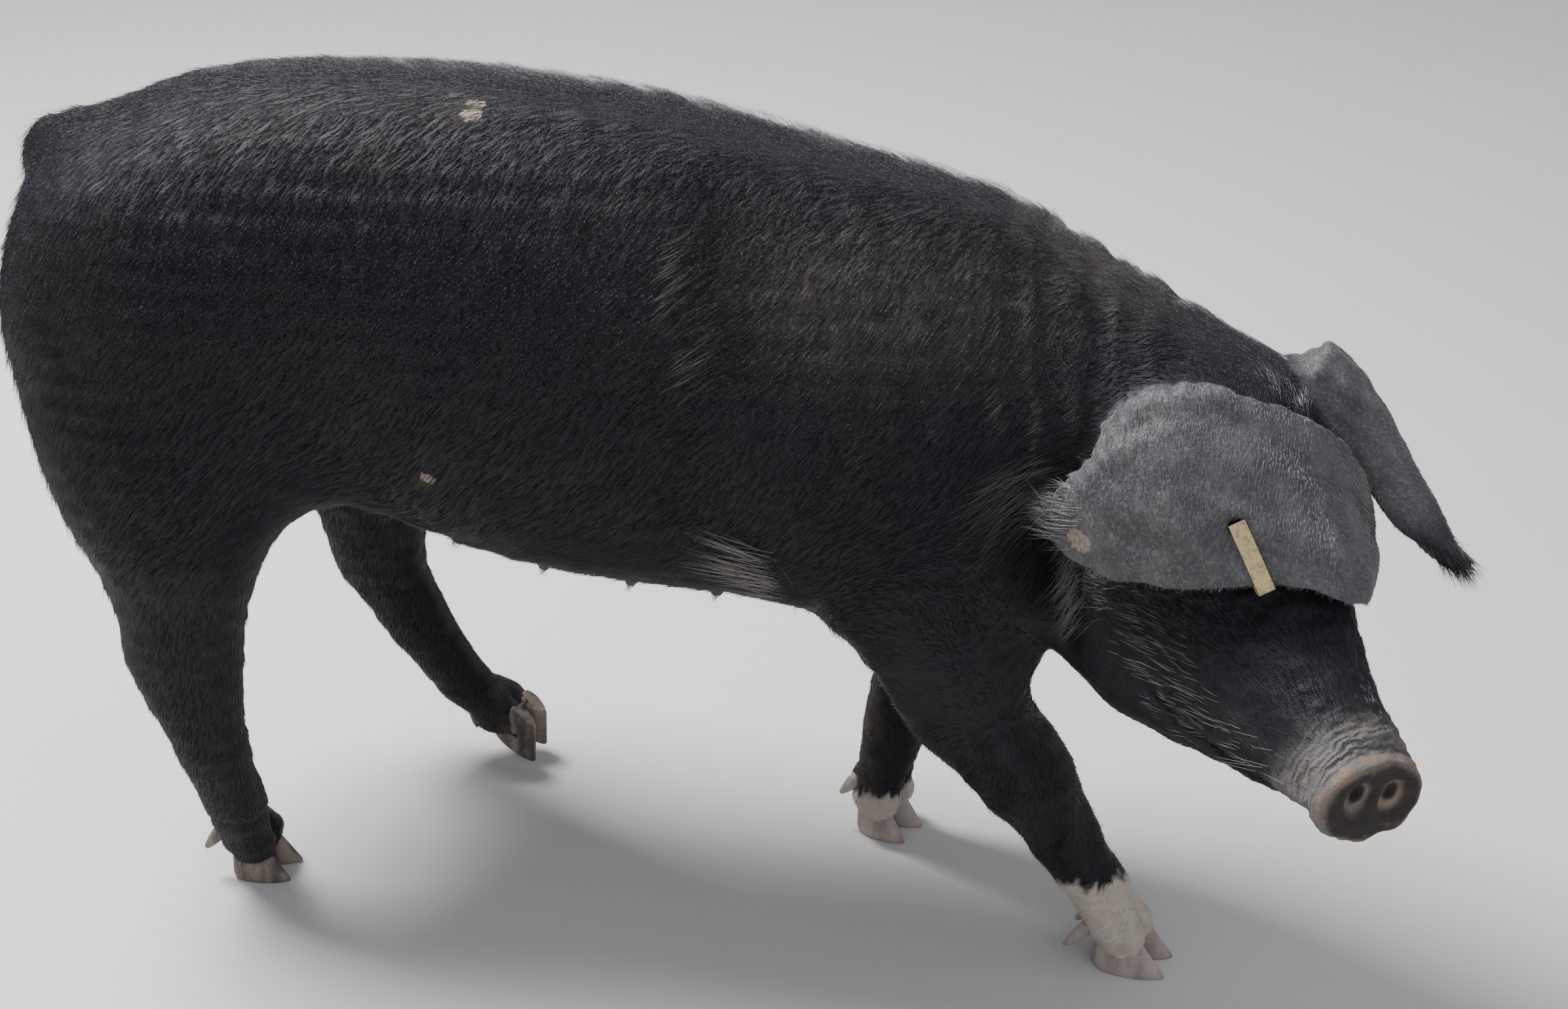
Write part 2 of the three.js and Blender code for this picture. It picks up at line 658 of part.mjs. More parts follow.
// The ear tag, in the frame whose X runs from the hole to the ear's edge and Y out of the ear.
function tagFrame() {
  const hole = earPoint(EAR_RIGHT, TAG_HOLE.along, TAG_HOLE.across).at;
  const edge = earPoint(EAR_RIGHT, TAG_EDGE.along, TAG_EDGE.across).at;
  const down = edge.clone().sub(hole);
  const long = down.length();
  down.normalize();
  const out = earNormal(EAR_RIGHT, TAG_HOLE.along, TAG_HOLE.across, -1);
  out.addScaledVector(down, -out.dot(down)).normalize();
  const matrix = new THREE.Matrix4().makeBasis(down, out, down.clone().cross(out));
  matrix.setPosition(hole);
  return { frame: headFrame.clone().multiply(matrix), long };
}

function rectangle(path, x0, y0, x1, y1) {
  path.moveTo(x0, y0);
  path.lineTo(x1, y0);
  path.lineTo(x1, y1);
  path.lineTo(x0, y1);
  return path.closePath();
}

function tagSolid(grow) {
  const { frame, long } = tagFrame();
  const [start, end] = [-TAG.above, long + TAG.past];
  const half = TAG.open / 2;
  const outer = TAG.thick + grow;
  const ring = rectangle(new THREE.Shape(), start - outer, -half - outer, end + outer, half + outer);
  ring.holes.push(
    rectangle(new THREE.Path(), start + grow, -half + grow, end - grow, half - grow),
  );
  const depth = TAG.wide + 2 * grow;
  const strip = new THREE.ExtrudeGeometry(ring, { depth, bevelEnabled: false });
  strip.translate(0, 0, -depth / 2);
  return solidFrom(strip.applyMatrix4(frame));
}

function tagHoleSolid() {
  const { frame } = tagFrame();
  const hole = new THREE.CylinderGeometry(TAG_HOLE.radius, TAG_HOLE.radius, 40, 12);
  hole.translate(-TAG.above, 0, 0);
  return solidFrom(hole.applyMatrix4(frame));
}

// ---------------------------------------------------------------- the sub-parts

const group = new THREE.Group();

function addPart(name, solid, color, roughness, metalness = 0) {
  const { vertProperties, triVerts } = solid.simplify(SLIVER).getMesh();
  const geometry = new THREE.BufferGeometry();
  geometry.setAttribute("position", new THREE.Float32BufferAttribute(vertProperties, 3));
  geometry.setIndex(Array.from(triVerts));
  const mesh = new THREE.Mesh(
    geometry,
    new THREE.MeshStandardMaterial({ color, roughness, metalness }),
  );
  mesh.name = name;
  group.add(mesh);
}

const COAT = 0x1b1c1f;
const GREY_SKIN = 0x53565d;
const HORN = 0xa88f78;
const SIDES = [
  ["right", -1],
  ["left", 1],
];

// Everything that is set into the flesh is cut out of it a little larger.
const cutters = [];
const inset = (name, make, color, roughness) => {
  addPart(name, make(0), color, roughness);
  cutters.push(make(GAP));
};

inset("tail", (grow) => taperSolid(TAIL, new THREE.Matrix4(), 8, grow), COAT, 0.6);
for (const [word, side] of SIDES)
  inset(`eye_${word}`, (grow) => eyeSolid(side, grow), 0x120c08, 0.1);
for (const [name, foot] of Object.entries(FEET))
  for (const [word, side] of SIDES) {
    inset(`${name}_claw_${word}`, (grow) => clawSolid(foot, side, grow), HORN, 0.55);
    inset(`${name}_dewclaw_${word}`, (grow) => dewclawSolid(foot, side, grow), HORN, 0.55);
  }
const ears = {
  right: (...how) => earSolid(EAR_RIGHT, -1, ...how),
  left: (...how) => earSolid(EAR_LEFT, 1, ...how),
};
for (const ear of Object.values(ears)) {
  // where a sharp bend keeps the grown ear too small, small shifts of the ear clear a gap
  const shifts = [0, 1, 2].flatMap((axis) => [-GAP, GAP].map((by) => [0, 0, 0].with(axis, by)));
  cutters.push(shifts.reduce((all, by) => all.add(ear(0, by)), ear(EAR_CLEAR)));
}
// The largest piece of a solid, without the slivers that a cut leaves.
const largest = (solid) => solid.decompose().sort((a, b) => b.volume() - a.volume())[0];
const clear = (solid) => largest(cutters.reduce((rest, cutter) => rest.subtract(cutter), solid));

addPart("ear_left", ears.left(0), GREY_SKIN, 0.7);
const pierced = ears.right(0).subtract(tagHoleSolid()).subtract(tagSolid(GAP));
addPart("ear_right", largest(pierced), GREY_SKIN, 0.7);
addPart("ear_tag", tagSolid(0), 0xb09a68, 0.4, 0.9);

const inHead = ({ at, normal }) => [
  new THREE.Vector3(...at).applyMatrix4(headFrame).toArray(),
  new THREE.Vector3(...normal).transformDirection(headFrame).toArray(),
];
const neckPlane = [NECK_CUT.at, NECK_CUT.normal];
const snoutPlane = inHead({ at: [SNOUT_CUT_X, 0, 0], normal: [1, 0, 0] });
const headBlock = (gap) =>
  before(...inHead(HEAD_CUT), gap).intersect(before(...inHead(THROAT_CUT), gap));

const legBlocks = Object.values(LEG_BOXES).map((box) => boxSolid(box, -10, LEG_TOP, GAP / 2));
const withoutLegs = (solid) => legBlocks.reduce((rest, block) => rest.subtract(block), solid);

const trunk = skinOf(bodyField, [-620, -230, 180], [260, 230, 680], CELL.trunk);
addPart("trunk", clear(withoutLegs(trunk.intersect(behind(...neckPlane)))), COAT, 0.6);

const neck = skinOf(bodyField, [60, -260, 180], [420, 160, 620], CELL.neck)
  .intersect(before(...neckPlane))
  .subtract(headBlock(-GAP / 2));
addPart("neck", clear(withoutLegs(neck)), COAT, 0.6);

const headMesh = skinOf(bodyField, [200, -380, 150], [520, 80, 560], CELL.head);
const head = headMesh.intersect(headBlock(GAP / 2)).intersect(behind(...snoutPlane));
addPart("head", clear(head), COAT, 0.6);

const snoutMesh = skinOf(bodyField, [340, -380, 180], [520, -190, 400], CELL.snout);
const snout = snoutMesh.intersect(before(...snoutPlane));
addPart("snout", snout.subtract(nostrilSolid(-1)).subtract(nostrilSolid(1)), 0x6d5d52, 0.6);

for (const [name, limb] of Object.entries(LIMBS)) {
  const box = LEG_BOXES[name];
  const block = boxSolid(box, -10, LEG_TOP, -GAP / 2);
  const ankle = limb.at(-1).at;
  const above = limb.at(-2).at;
  const down = ankle.map((value, k) => value - above[k]);
  const cut = ankle.map((value, k) => lerp(above[k], value, 0.55));
  const low = [box[0] - 60, box[1] - 60, -40];
  const high = [box[2] + 60, box[3] + 60, LEG_TOP + 60];
  const leg = skinOf(torsoField, low, high, CELL.leg);
  addPart(`${name}_leg`, clear(leg.intersect(block).intersect(behind(cut, down))), COAT, 0.6);
  const footHigh = [high[0], high[1], 170];
  const foot = skinOf(torsoField, low, footHigh, CELL.foot);
  addPart(`${name}_foot`, clear(foot.intersect(block).intersect(before(cut, down))), COAT, 0.6);
}

// The row's origin is on the floor, under the middle of the animal's box.
const middle = new THREE.Box3().setFromObject(group).getCenter(new THREE.Vector3());
group.position.set(-middle.x, -middle.y, 0);

export default group;
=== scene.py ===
"""A young black lop-eared pig, life size: skin, bristles, claws, eyes and ear tag.

Everything is in metres in the row's frame: +X is the way the pig walks, +Y its left, +Z up.
Sizes are given in the body's own axes, which share the row's directions and have their origin on
the floor under the middle of the back; the trunk's box says where that is in the row.
"""

import logging
import math
from collections.abc import Sequence
from dataclasses import dataclass, field, replace
from enum import Enum

import bmesh
import bpy
import numpy as np
from mathutils import Euler, Matrix, Vector
from mathutils.bvhtree import BVHTree


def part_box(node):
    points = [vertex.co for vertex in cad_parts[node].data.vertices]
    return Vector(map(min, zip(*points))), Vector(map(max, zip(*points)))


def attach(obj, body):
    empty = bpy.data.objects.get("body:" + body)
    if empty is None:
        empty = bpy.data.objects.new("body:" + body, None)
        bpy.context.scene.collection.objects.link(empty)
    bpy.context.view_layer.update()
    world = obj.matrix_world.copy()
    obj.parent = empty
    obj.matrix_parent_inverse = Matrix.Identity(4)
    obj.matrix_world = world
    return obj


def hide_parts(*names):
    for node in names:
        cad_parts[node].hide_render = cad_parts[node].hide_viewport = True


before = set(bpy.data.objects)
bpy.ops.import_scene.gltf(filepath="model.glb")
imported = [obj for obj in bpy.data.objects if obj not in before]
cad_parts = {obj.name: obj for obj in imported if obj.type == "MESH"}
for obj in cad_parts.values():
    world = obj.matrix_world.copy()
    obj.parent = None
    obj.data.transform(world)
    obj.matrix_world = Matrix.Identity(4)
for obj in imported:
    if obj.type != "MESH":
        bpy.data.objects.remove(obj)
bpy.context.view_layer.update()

LOG = logging.getLogger("pig")
Array = np.ndarray

LIMBS = ("fore_right", "fore_left", "hind_right", "hind_left")
SIDES = ("right", "left")
FLESH = (
    "trunk",
    "neck",
    "head",
    "snout",
    "tail",
    "ear_right",
    "ear_left",
    *(f"{limb}_{part}" for limb in LIMBS for part in ("leg", "foot")),
)
STEEP = math.radians(40)  # edges between faces that meet at more than this stay crisp
DRIED_MUD = (0.30, 0.25, 0.20)


# ---------------------------------------------------------------- places


def box_of(*nodes: str) -> tuple[Array, Array]:
    """Return the box round some CAD nodes.

    Args:
        nodes: Names of the nodes.

    Returns:
        The lowest and the highest corner, in the row's frame.
    """
    corners = [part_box(node) for node in nodes]
    low = np.min([np.array(c[0]) for c in corners], axis=0)
    high = np.max([np.array(c[1]) for c in corners], axis=0)
    return low, high


def ramp(value: Array, start: float, end: float) -> Array:
    """Return a smooth step from 0 at start to 1 at end.

    Args:
        value: The numbers to map.
        start: Where the step is 0.
        end: Where the step is 1.

    Returns:
        Values from 0 to 1, of the same shape.
    """
    share = np.clip((value - start) / (end - start), 0.0, 1.0)
    return share * share * (3 - 2 * share)


def bump_at(points: Array, centre: Sequence[float], radius: float | Sequence[float]) -> Array:
    """Return a soft round hump: 1 at the centre and 0 beyond about twice the radius.

    Args:
        points: Points, one in each row.
        centre: The middle of the hump.
        radius: Its radius, or one for each axis.

    Returns:
        One height for each point.
    """
    away = (points - np.array(centre)) / np.array(radius)
    return np.exp(-np.sum(away * away, axis=1))


@dataclass(frozen=True)
class Hump:
    """A soft round hump, or a hollow where its height is below 0."""

    height: float
    at: tuple[float, float, float]
    radii: tuple[float, float, float]


def humps(points: Array, shapes: Sequence[Hump]) -> Array:
    """Return the sum of some humps.

    Args:
        points: Points, one in each row.
        shapes: The humps.

    Returns:
        One height for each point.
    """
    total = np.zeros(len(points))
    for shape in shapes:
        total += shape.height * bump_at(points, shape.at, shape.radii)
    return total


def blended(value: Array, parts: Sequence[tuple[float, Array]]) -> Array:
    """Bring a value to another one on each part of the body.

    Args:
        value: The value elsewhere.
        parts: The value on each part and the part's share of each point, the last winning.

    Returns:
        The value at each point.
    """
    for other, share in parts:
        value = value + (other - value) * share
    return value


def unit(vectors: Array) -> Array:
    """Return the vectors, one in each row, at length 1."""
    return vectors / np.maximum(np.linalg.norm(vectors, axis=1, keepdims=True), 1e-9)


def ripple(points: Array, size: float, seed: int) -> Array:
    """Return a smooth random field made of a few sine waves.

    Args:
        points: Points, one in each row.
        size: The length of the main waves.
        seed: Which field it is.

    Returns:
        One value for each point, mostly from -1 to 1.
    """
    random = np.random.default_rng(seed)
    total = np.zeros(len(points))
    for octave in range(6):
        way = random.normal(size=3)
        way /= np.linalg.norm(way)
        turns = 2 * math.pi / (size / (1 + 0.35 * octave))
        total += np.sin(points @ way * turns + random.uniform(0, 2 * math.pi))
    return total / 3.0


@dataclass(frozen=True)
class Axes:
    """A frame of axes: its origin and its turn, from its own points to the row's."""

    origin: tuple[float, float, float]
    turn: Matrix

    def inside(self, points: Array) -> Array:
        """Return row points in these axes."""
        return (points - np.array(self.origin)) @ np.array(self.turn)

    def outside(self, points: Array) -> Array:
        """Return points of these axes in the row's frame."""
        return points @ np.array(self.turn).T + np.array(self.origin)

    def way(self, direction: Sequence[float]) -> Array:
        """Return a direction of these axes in the row's frame."""
        return np.array(self.turn) @ np.array(direction, float)


@dataclass(frozen=True)
class Anatomy:
    """Where the parts of the animal lie."""

    trunk_front: float = 0.1585  # the trunk's front end in the body's own axes
    head_at: tuple[float, float, float] = (0.290, -0.052, 0.433)
    head_yaw: float = -58.0
    head_pitch: float = 25.5
    head_roll: float = -14.0
    node_reach: float = 0.004  # how near the skin is to the CAD node that it covers

    def body(self) -> Axes:
        """Return the body's own axes."""
        low, high = box_of("trunk")
        middle = (low[1] + high[1]) / 2
        return Axes((float(high[0]) - self.trunk_front, float(middle), 0.0), Matrix.Identity(3))

    def head(self) -> Axes:
        """Return the head's axes: X to the snout, Y to its left, Z to its brow."""
        angles = (self.head_roll, self.head_pitch, self.head_yaw)
        turn = Euler([math.radians(a) for a in angles], "XYZ").to_matrix()
        at = self.body().outside(np.array([self.head_at]))[0]
        return Axes(tuple(float(v) for v in at), turn)


@dataclass
class Regions:
    """How much each point of the skin belongs to each part of the body, from 0 to 1."""

    head: Array
    snout: Array
    ear: Array
    leg: Array
    foot: Array
    tail: Array

    @classmethod
    def of(cls, points: Array, anatomy: Anatomy) -> "Regions":
        """Work out the shares from the places of the CAD nodes.

        Args:
            points: Row points, one in each row.
            anatomy: Where the parts of the animal lie.

        Returns:
            The shares.
        """
        head = anatomy.head().inside(points)
        body = anatomy.body().inside(points)
        on_head = ramp(head[:, 0], -0.02, 0.04) * ramp(-body[:, 1] + body[:, 0], 0.16, 0.24)
        on_head *= ramp(points[:, 2], 0.20, 0.24)
        ear = near_nodes(points, [f"ear_{side}" for side in SIDES], anatomy.node_reach)
        height = points[:, 2]
        leg = ramp(height, 0.30, 0.20) * (1 - on_head)
        foot = ramp(height, 0.12, 0.075) * (1 - on_head)
        snout = ramp(head[:, 0], 0.222, 0.252) * on_head
        tail = near_nodes(points, ("tail",), anatomy.node_reach) * ramp(body[:, 0], -0.50, -0.53)
        return cls(on_head, snout, ear, leg, foot, tail)


def near_nodes(points: Array, nodes: Sequence[str], reach: float) -> Array:
    """Tell how near points are to the surface of some CAD nodes.

    Args:
        points: Row points, one in each row.
        nodes: The nodes.
        reach: The distance at which the answer has fallen to about a half.

    Returns:
        1 on the nodes' surface, falling smoothly to 0 at three times the reach.
    """
    share = np.zeros(len(points))
    for node in nodes:
        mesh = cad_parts[node].data
        tree = BVHTree.FromPolygons(
            [v.co for v in mesh.vertices], [tuple(p.vertices) for p in mesh.polygons]
        )
        low, high = box_of(node)
        close = np.all((points > low - 3 * reach) & (points < high + 3 * reach), axis=1)
        for index in np.nonzero(close)[0]:
            hit = tree.find_nearest(Vector(points[index]), 3 * reach)
            if hit[0] is not None:
                share[index] = max(share[index], 1 - hit[3] / (3 * reach))
    return ramp(share, 0.1, 0.7)


# ---------------------------------------------------------------- meshes


def new_object(name: str, mesh: bpy.types.Mesh) -> bpy.types.Object:
    """Link a mesh into the scene as an object at the origin.

    Args:
        name: The object's name.
        mesh: Its mesh.

    Returns:
        The object.
    """
    made = bpy.data.objects.new(name, mesh)
    bpy.context.scene.collection.objects.link(made)
    return made


def discard(thing: bpy.types.Object) -> None:
    """Remove an object and its mesh."""
    mesh = thing.data
    bpy.data.objects.remove(thing)
    bpy.data.meshes.remove(mesh)


def merged_copy(node: str, swell: float = 0.0) -> tuple[Array, list[tuple[int, ...]]]:
    """Copy a CAD node's mesh with its loose triangles joined.

    Args:
        node: The node.
        swell: How far each point is pushed out.

    Returns:
        The points and the faces.
    """
    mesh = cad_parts[node].data
    points = np.zeros(len(mesh.vertices) * 3)
    mesh.vertices.foreach_get("co", points)
    keys = np.round(points.reshape(-1, 3), 6)
    unique, back = np.unique(keys, axis=0, return_inverse=True)
    back = back.ravel()
    faces = [tuple(int(back[i]) for i in p.vertices) for p in mesh.polygons]
    faces = [f for f in faces if len(set(f)) == len(f)]
    if swell:
        corner = unique[np.array(faces)]
        across = np.cross(corner[:, 1] - corner[:, 0], corner[:, 2] - corner[:, 0])
        normal = np.zeros_like(unique)
        for k in range(3):
            np.add.at(normal, np.array(faces)[:, k], across)
        unique = unique + unit(normal) * swell
    return unique, faces


def mesh_from(name: str, points: Array, faces: Sequence[Sequence[int]]) -> bpy.types.Mesh:
    """Make a mesh from points and faces.

    Args:
        name: The mesh's name.
        points: Its points, one in each row.
        faces: The numbers of each face's points.

    Returns:
        The mesh.
    """
    mesh = bpy.data.meshes.new(name)
    mesh.from_pydata([tuple(p) for p in points], [], [tuple(f) for f in faces])
    mesh.update()
    return mesh


def evaluated(thing: bpy.types.Object, name: str) -> bpy.types.Object:
    """Turn an object with modifiers into a plain one.

    Args:
        thing: The object, which is removed.
        name: The plain object's name.

    Returns:
        The plain object.
    """
    graph = bpy.context.evaluated_depsgraph_get()
    mesh = bpy.data.meshes.new_from_object(thing.evaluated_get(graph))
    discard(thing)
    mesh.name = name
    return new_object(name, mesh)


def points_of(mesh: bpy.types.Mesh) -> Array:
    """Return a mesh's points, one in each row."""
    points = np.zeros(len(mesh.vertices) * 3)
    mesh.vertices.foreach_get("co", points)
    return points.reshape(-1, 3)


def normals_of(mesh: bpy.types.Mesh) -> Array:
    """Return a mesh's normal at each point, one in each row."""
    normals = np.zeros(len(mesh.vertices) * 3, np.float32)
    mesh.vertex_normals.foreach_get("vector", normals)
    return normals.reshape(-1, 3).astype(float)


def put_points(mesh: bpy.types.Mesh, points: Array) -> None:
    """Move a mesh's points.

    Args:
        mesh: The mesh.
        points: Their new places, one in each row.
    """
    mesh.vertices.foreach_set("co", points.astype(np.float32).ravel())
    mesh.update()


def put_attribute(mesh: bpy.types.Mesh, name: str, values: Array) -> None:
    """Store a number, a pair or a vector at each point of a mesh.

    Args:
        mesh: The mesh.
        name: The name that the values are stored under.
        values: One row for each point.
    """
    kinds = {1: ("FLOAT", "value"), 2: ("FLOAT2", "vector"), 3: ("FLOAT_VECTOR", "vector")}
    kind, key = kinds[1 if values.ndim == 1 else values.shape[1]]
    attribute = mesh.attributes.new(name, kind, "POINT")
    attribute.data.foreach_set(key, values.astype(np.float32).ravel())


def smooth(mesh: bpy.types.Mesh, rounds: Array) -> None:
    """Even out a mesh by moving points towards the middle of their neighbours.

    Args:
        mesh: The mesh.
        rounds: How many times each point is moved.
    """
    edges = np.zeros(len(mesh.edges) * 2, np.int32)
    mesh.edges.foreach_get("vertices", edges)
    a, b = edges.reshape(-1, 2).T
    points = points_of(mesh)
    count = len(points)
    degree = np.bincount(a, minlength=count) + np.bincount(b, minlength=count)
    for number in range(int(rounds.max()) + 1):
        weight = np.clip(rounds - number, 0, 1)
        if not weight.any():
            break
        for k in range(3):
            column = points[:, k]
            total = np.bincount(a, column[b], count) + np.bincount(b, column[a], count)
            points[:, k] = column + weight * (total / degree - column)
    put_points(mesh, points)


# ---------------------------------------------------------------- shader and node tools


class Graph:
    """A node tree with one method that makes any node."""

    def __init__(self, tree: bpy.types.NodeTree) -> None:
        """Start on an empty tree."""
        self.tree = tree
        tree.nodes.clear()

    def add(self, kind: str, settings: dict | None = None, **inputs: object) -> bpy.types.Node:
        """Make a node.

        Args:
            kind: The node's type.
            settings: Its properties, set before its sockets; "stops" fills a colour ramp.
            inputs: Values or links, by socket name with _ for a space, or in_N by number.

        Returns:
            The node.
        """
        node = self.tree.nodes.new(kind)
        for key, value in (settings or {}).items():
            if key == "stops":
                self._fill_ramp(node.color_ramp, value)
            else:
                setattr(node, key, value)
        for key, value in inputs.items():
            by_number = key.startswith("in_")
            name = key.replace("_", " ")
            socket = node.inputs[int(key[3:])] if by_number else self._named(node, name)
            self.feed(socket, value)
        return node

    def feed(self, socket: bpy.types.NodeSocket, value: object) -> None:
        """Link a socket to another, or give it a plain value.

        Args:
            socket: The input socket.
            value: A wire, an output socket or a plain value.
        """
        if isinstance(value, Wire):
            value = value.socket
        if isinstance(value, bpy.types.NodeSocket):
            self.tree.links.new(value, socket)
        else:
            socket.default_value = value

    @staticmethod
    def _named(node: bpy.types.Node, name: str) -> bpy.types.NodeSocket:
        """Return the enabled input socket of that name."""
        found = [s for s in node.inputs if s.name == name and s.enabled]
        return found[0] if found else node.inputs[name]

    @staticmethod
    def _fill_ramp(colours: bpy.types.ColorRamp, stops: Sequence[tuple]) -> None:
        """Give a colour ramp its stops.

        Args:
            colours: The colour ramp.
            stops: Pairs of place and colour.
        """
        while len(colours.elements) < len(stops):
            colours.elements.new(1.0)
        for element, (place, colour) in zip(colours.elements, stops):
            element.position = place
            element.color = colour if len(colour) == 4 else (*colour, 1.0)

    def wire(self, node: bpy.types.Node, output: int | str = 0) -> "Wire":
        """Wrap a node's output so that it can be used in sums."""
        return Wire(self, node.outputs[output])


class Wire:
    """A number socket that can be used in Python sums."""

    def __init__(self, graph: Graph, socket: bpy.types.NodeSocket) -> None:
        """Wrap a socket of a graph."""
        self.graph = graph
        self.socket = socket

    def _sum(self, operation: str, a: object, b: object) -> "Wire":
        """Add a Math node for a and b."""
        node = self.graph.add("ShaderNodeMath", {"operation": operation}, in_0=a, in_1=b)
        return Wire(self.graph, node.outputs[0])

    def __add__(self, other: object) -> "Wire":
        """Return self + other."""
        return self._sum("ADD", self, other)

    __radd__ = __add__

    def __mul__(self, other: object) -> "Wire":
        """Return self * other."""
        return self._sum("MULTIPLY", self, other)

    __rmul__ = __mul__

    def __sub__(self, other: object) -> "Wire":
        """Return self - other."""
        return self._sum("SUBTRACT", self, other)

    def __rsub__(self, other: object) -> "Wire":
        """Return other - self."""
        return self._sum("SUBTRACT", other, self)

    def clamp(self, low: float = 0.0, high: float = 1.0) -> "Wire":
        """Return the value held between two limits."""
        return self._sum("MINIMUM", self._sum("MAXIMUM", self, low), high)

    def step(self, start: float, end: float) -> "Wire":
        """Return a smooth step.

        Args:
            start: The value at which the step is 0.
            end: The value at which it is 1.

        Returns:
            The step, as a wire.
        """
        settings = {"interpolation_type": "SMOOTHSTEP"}
        node = self.graph.add("ShaderNodeMapRange", settings, Value=self)
        node.inputs["From Min"].default_value = start
        node.inputs["From Max"].default_value = end
        return Wire(self.graph, node.outputs[0])


class Colours:
    """Makes a Principled material in a few lines."""

    def __init__(self, name: str) -> None:
        """Start a material of that name."""
        self.material = bpy.data.materials.new(name)
        self.material.use_nodes = True
        self.graph = Graph(self.material.node_tree)
        self.shader = self.graph.add("ShaderNodeBsdfPrincipled")
        self.graph.add("ShaderNodeOutputMaterial", Surface=self.shader.outputs[0])
        self.place = self.graph.add("ShaderNodeTexCoord").outputs["Object"]

    def attribute(self, name: str) -> Wire:
        """Return a number stored on the mesh."""
        node = self.graph.add("ShaderNodeAttribute", {"attribute_name": name})
        return self.graph.wire(node, "Fac")

    def noise(
        self,
        scale: float,
        detail: float = 3.0,
        rough: float = 0.5,
        place: bpy.types.NodeSocket | None = None,
    ) -> Wire:
        """Return a cloudy pattern from 0 to 1.

        Args:
            scale: How fine it is.
            detail: How many finer layers it has.
            rough: How strong they are.
            place: Where the pattern is read, if not on the object's own coordinates.

        Returns:
            The pattern.
        """
        where = self.place if place is None else place
        node = self.graph.add(
            "ShaderNodeTexNoise", Vector=where, Scale=scale, Detail=detail, Roughness=rough
        )
        return self.graph.wire(node)

    def sine(self, value: Wire) -> Wire:
        """Return the sine of a value."""
        node = self.graph.add("ShaderNodeMath", {"operation": "SINE"}, in_0=value)
        return self.graph.wire(node)

    def cells(self, scale: float, stretch: Sequence[float] = (1, 1, 1)) -> Wire:
        """Return the distance to the nearest of many scattered points.

        Args:
            scale: How close the points are.
            stretch: How much each axis is scaled.

        Returns:
            The distance, as a wire.
        """
        node = self.graph.add(
            "ShaderNodeTexVoronoi", {"feature": "F1"}, Vector=self.stretched(stretch), Scale=scale
        )
        return self.graph.wire(node)

    def stretched(self, stretch: Sequence[float]) -> bpy.types.NodeSocket:
        """Return the place with each axis scaled."""
        node = self.graph.add("ShaderNodeMapping", Vector=self.place, Scale=tuple(stretch))
        return node.outputs[0]

    def mix(self, amount: object, first: object, second: object) -> bpy.types.NodeSocket:
        """Return a colour between two.

        Args:
            amount: The share of the second, from 0 to 1.
            first: A socket or three numbers.
            second: A socket or three numbers.

        Returns:
            The colour.
        """
        node = self.graph.add("ShaderNodeMix", {"data_type": "RGBA"})
        self.graph.feed(node.inputs[0], amount)
        for socket, colour in ((node.inputs[6], first), (node.inputs[7], second)):
            plain = isinstance(colour, (tuple, list))
            self.graph.feed(socket, (*colour, 1.0) if plain else colour)
        return node.outputs[2]

    def finish(
        self,
        colour: object,
        roughness: object,
        height: Wire | None = None,
        relief: float = 0.001,
        **fixed: object,
    ) -> bpy.types.Material:
        """Join the parts of the material.

        Args:
            colour: Its colour, a socket or three numbers.
            roughness: Its roughness, a number or a wire.
            height: Its bumps, or None.
            relief: How deep the bumps are, in metres.
            fixed: Sockets that are the same all over, by name with _ for a space.

        Returns:
            The material.
        """
        plain = isinstance(colour, (tuple, list))
        self.graph.feed(self.shader.inputs["Base Color"], (*colour, 1.0) if plain else colour)
        self.graph.feed(self.shader.inputs["Roughness"], roughness)
        if height is not None:
            bump = self.graph.add("ShaderNodeBump", Height=height, Distance=relief, Strength=1.0)
            self.graph.feed(self.shader.inputs["Normal"], bump.outputs[0])
        for name, value in fixed.items():
            self.graph.feed(self.shader.inputs[name.replace("_", " ")], value)
        return self.material


# ---------------------------------------------------------------- the skin


@dataclass(frozen=True)
class Foot:
    """The frame of a foot, worked out from the boxes of its two claws."""

    name: str

    def axes(self) -> Axes:
        """Return the foot's axes: X to the toes, Y to its left, the origin on the sole."""
        right, left = (box_of(f"{self.name}_claw_{side}") for side in SIDES)
        across = (left[0] + left[1] - right[0] - right[1]) / 2
        across[2] = 0.0
        y = Vector(across).normalized()
        x = y.cross(Vector((0, 0, 1)))
        middle = (left[0] + left[1] + right[0] + right[1]) / 4
        middle[2] = min(left[0][2], right[0][2])
        turn = Matrix((x, y, Vector((0, 0, 1)))).transposed()
        return Axes(tuple(float(v) for v in middle), turn)


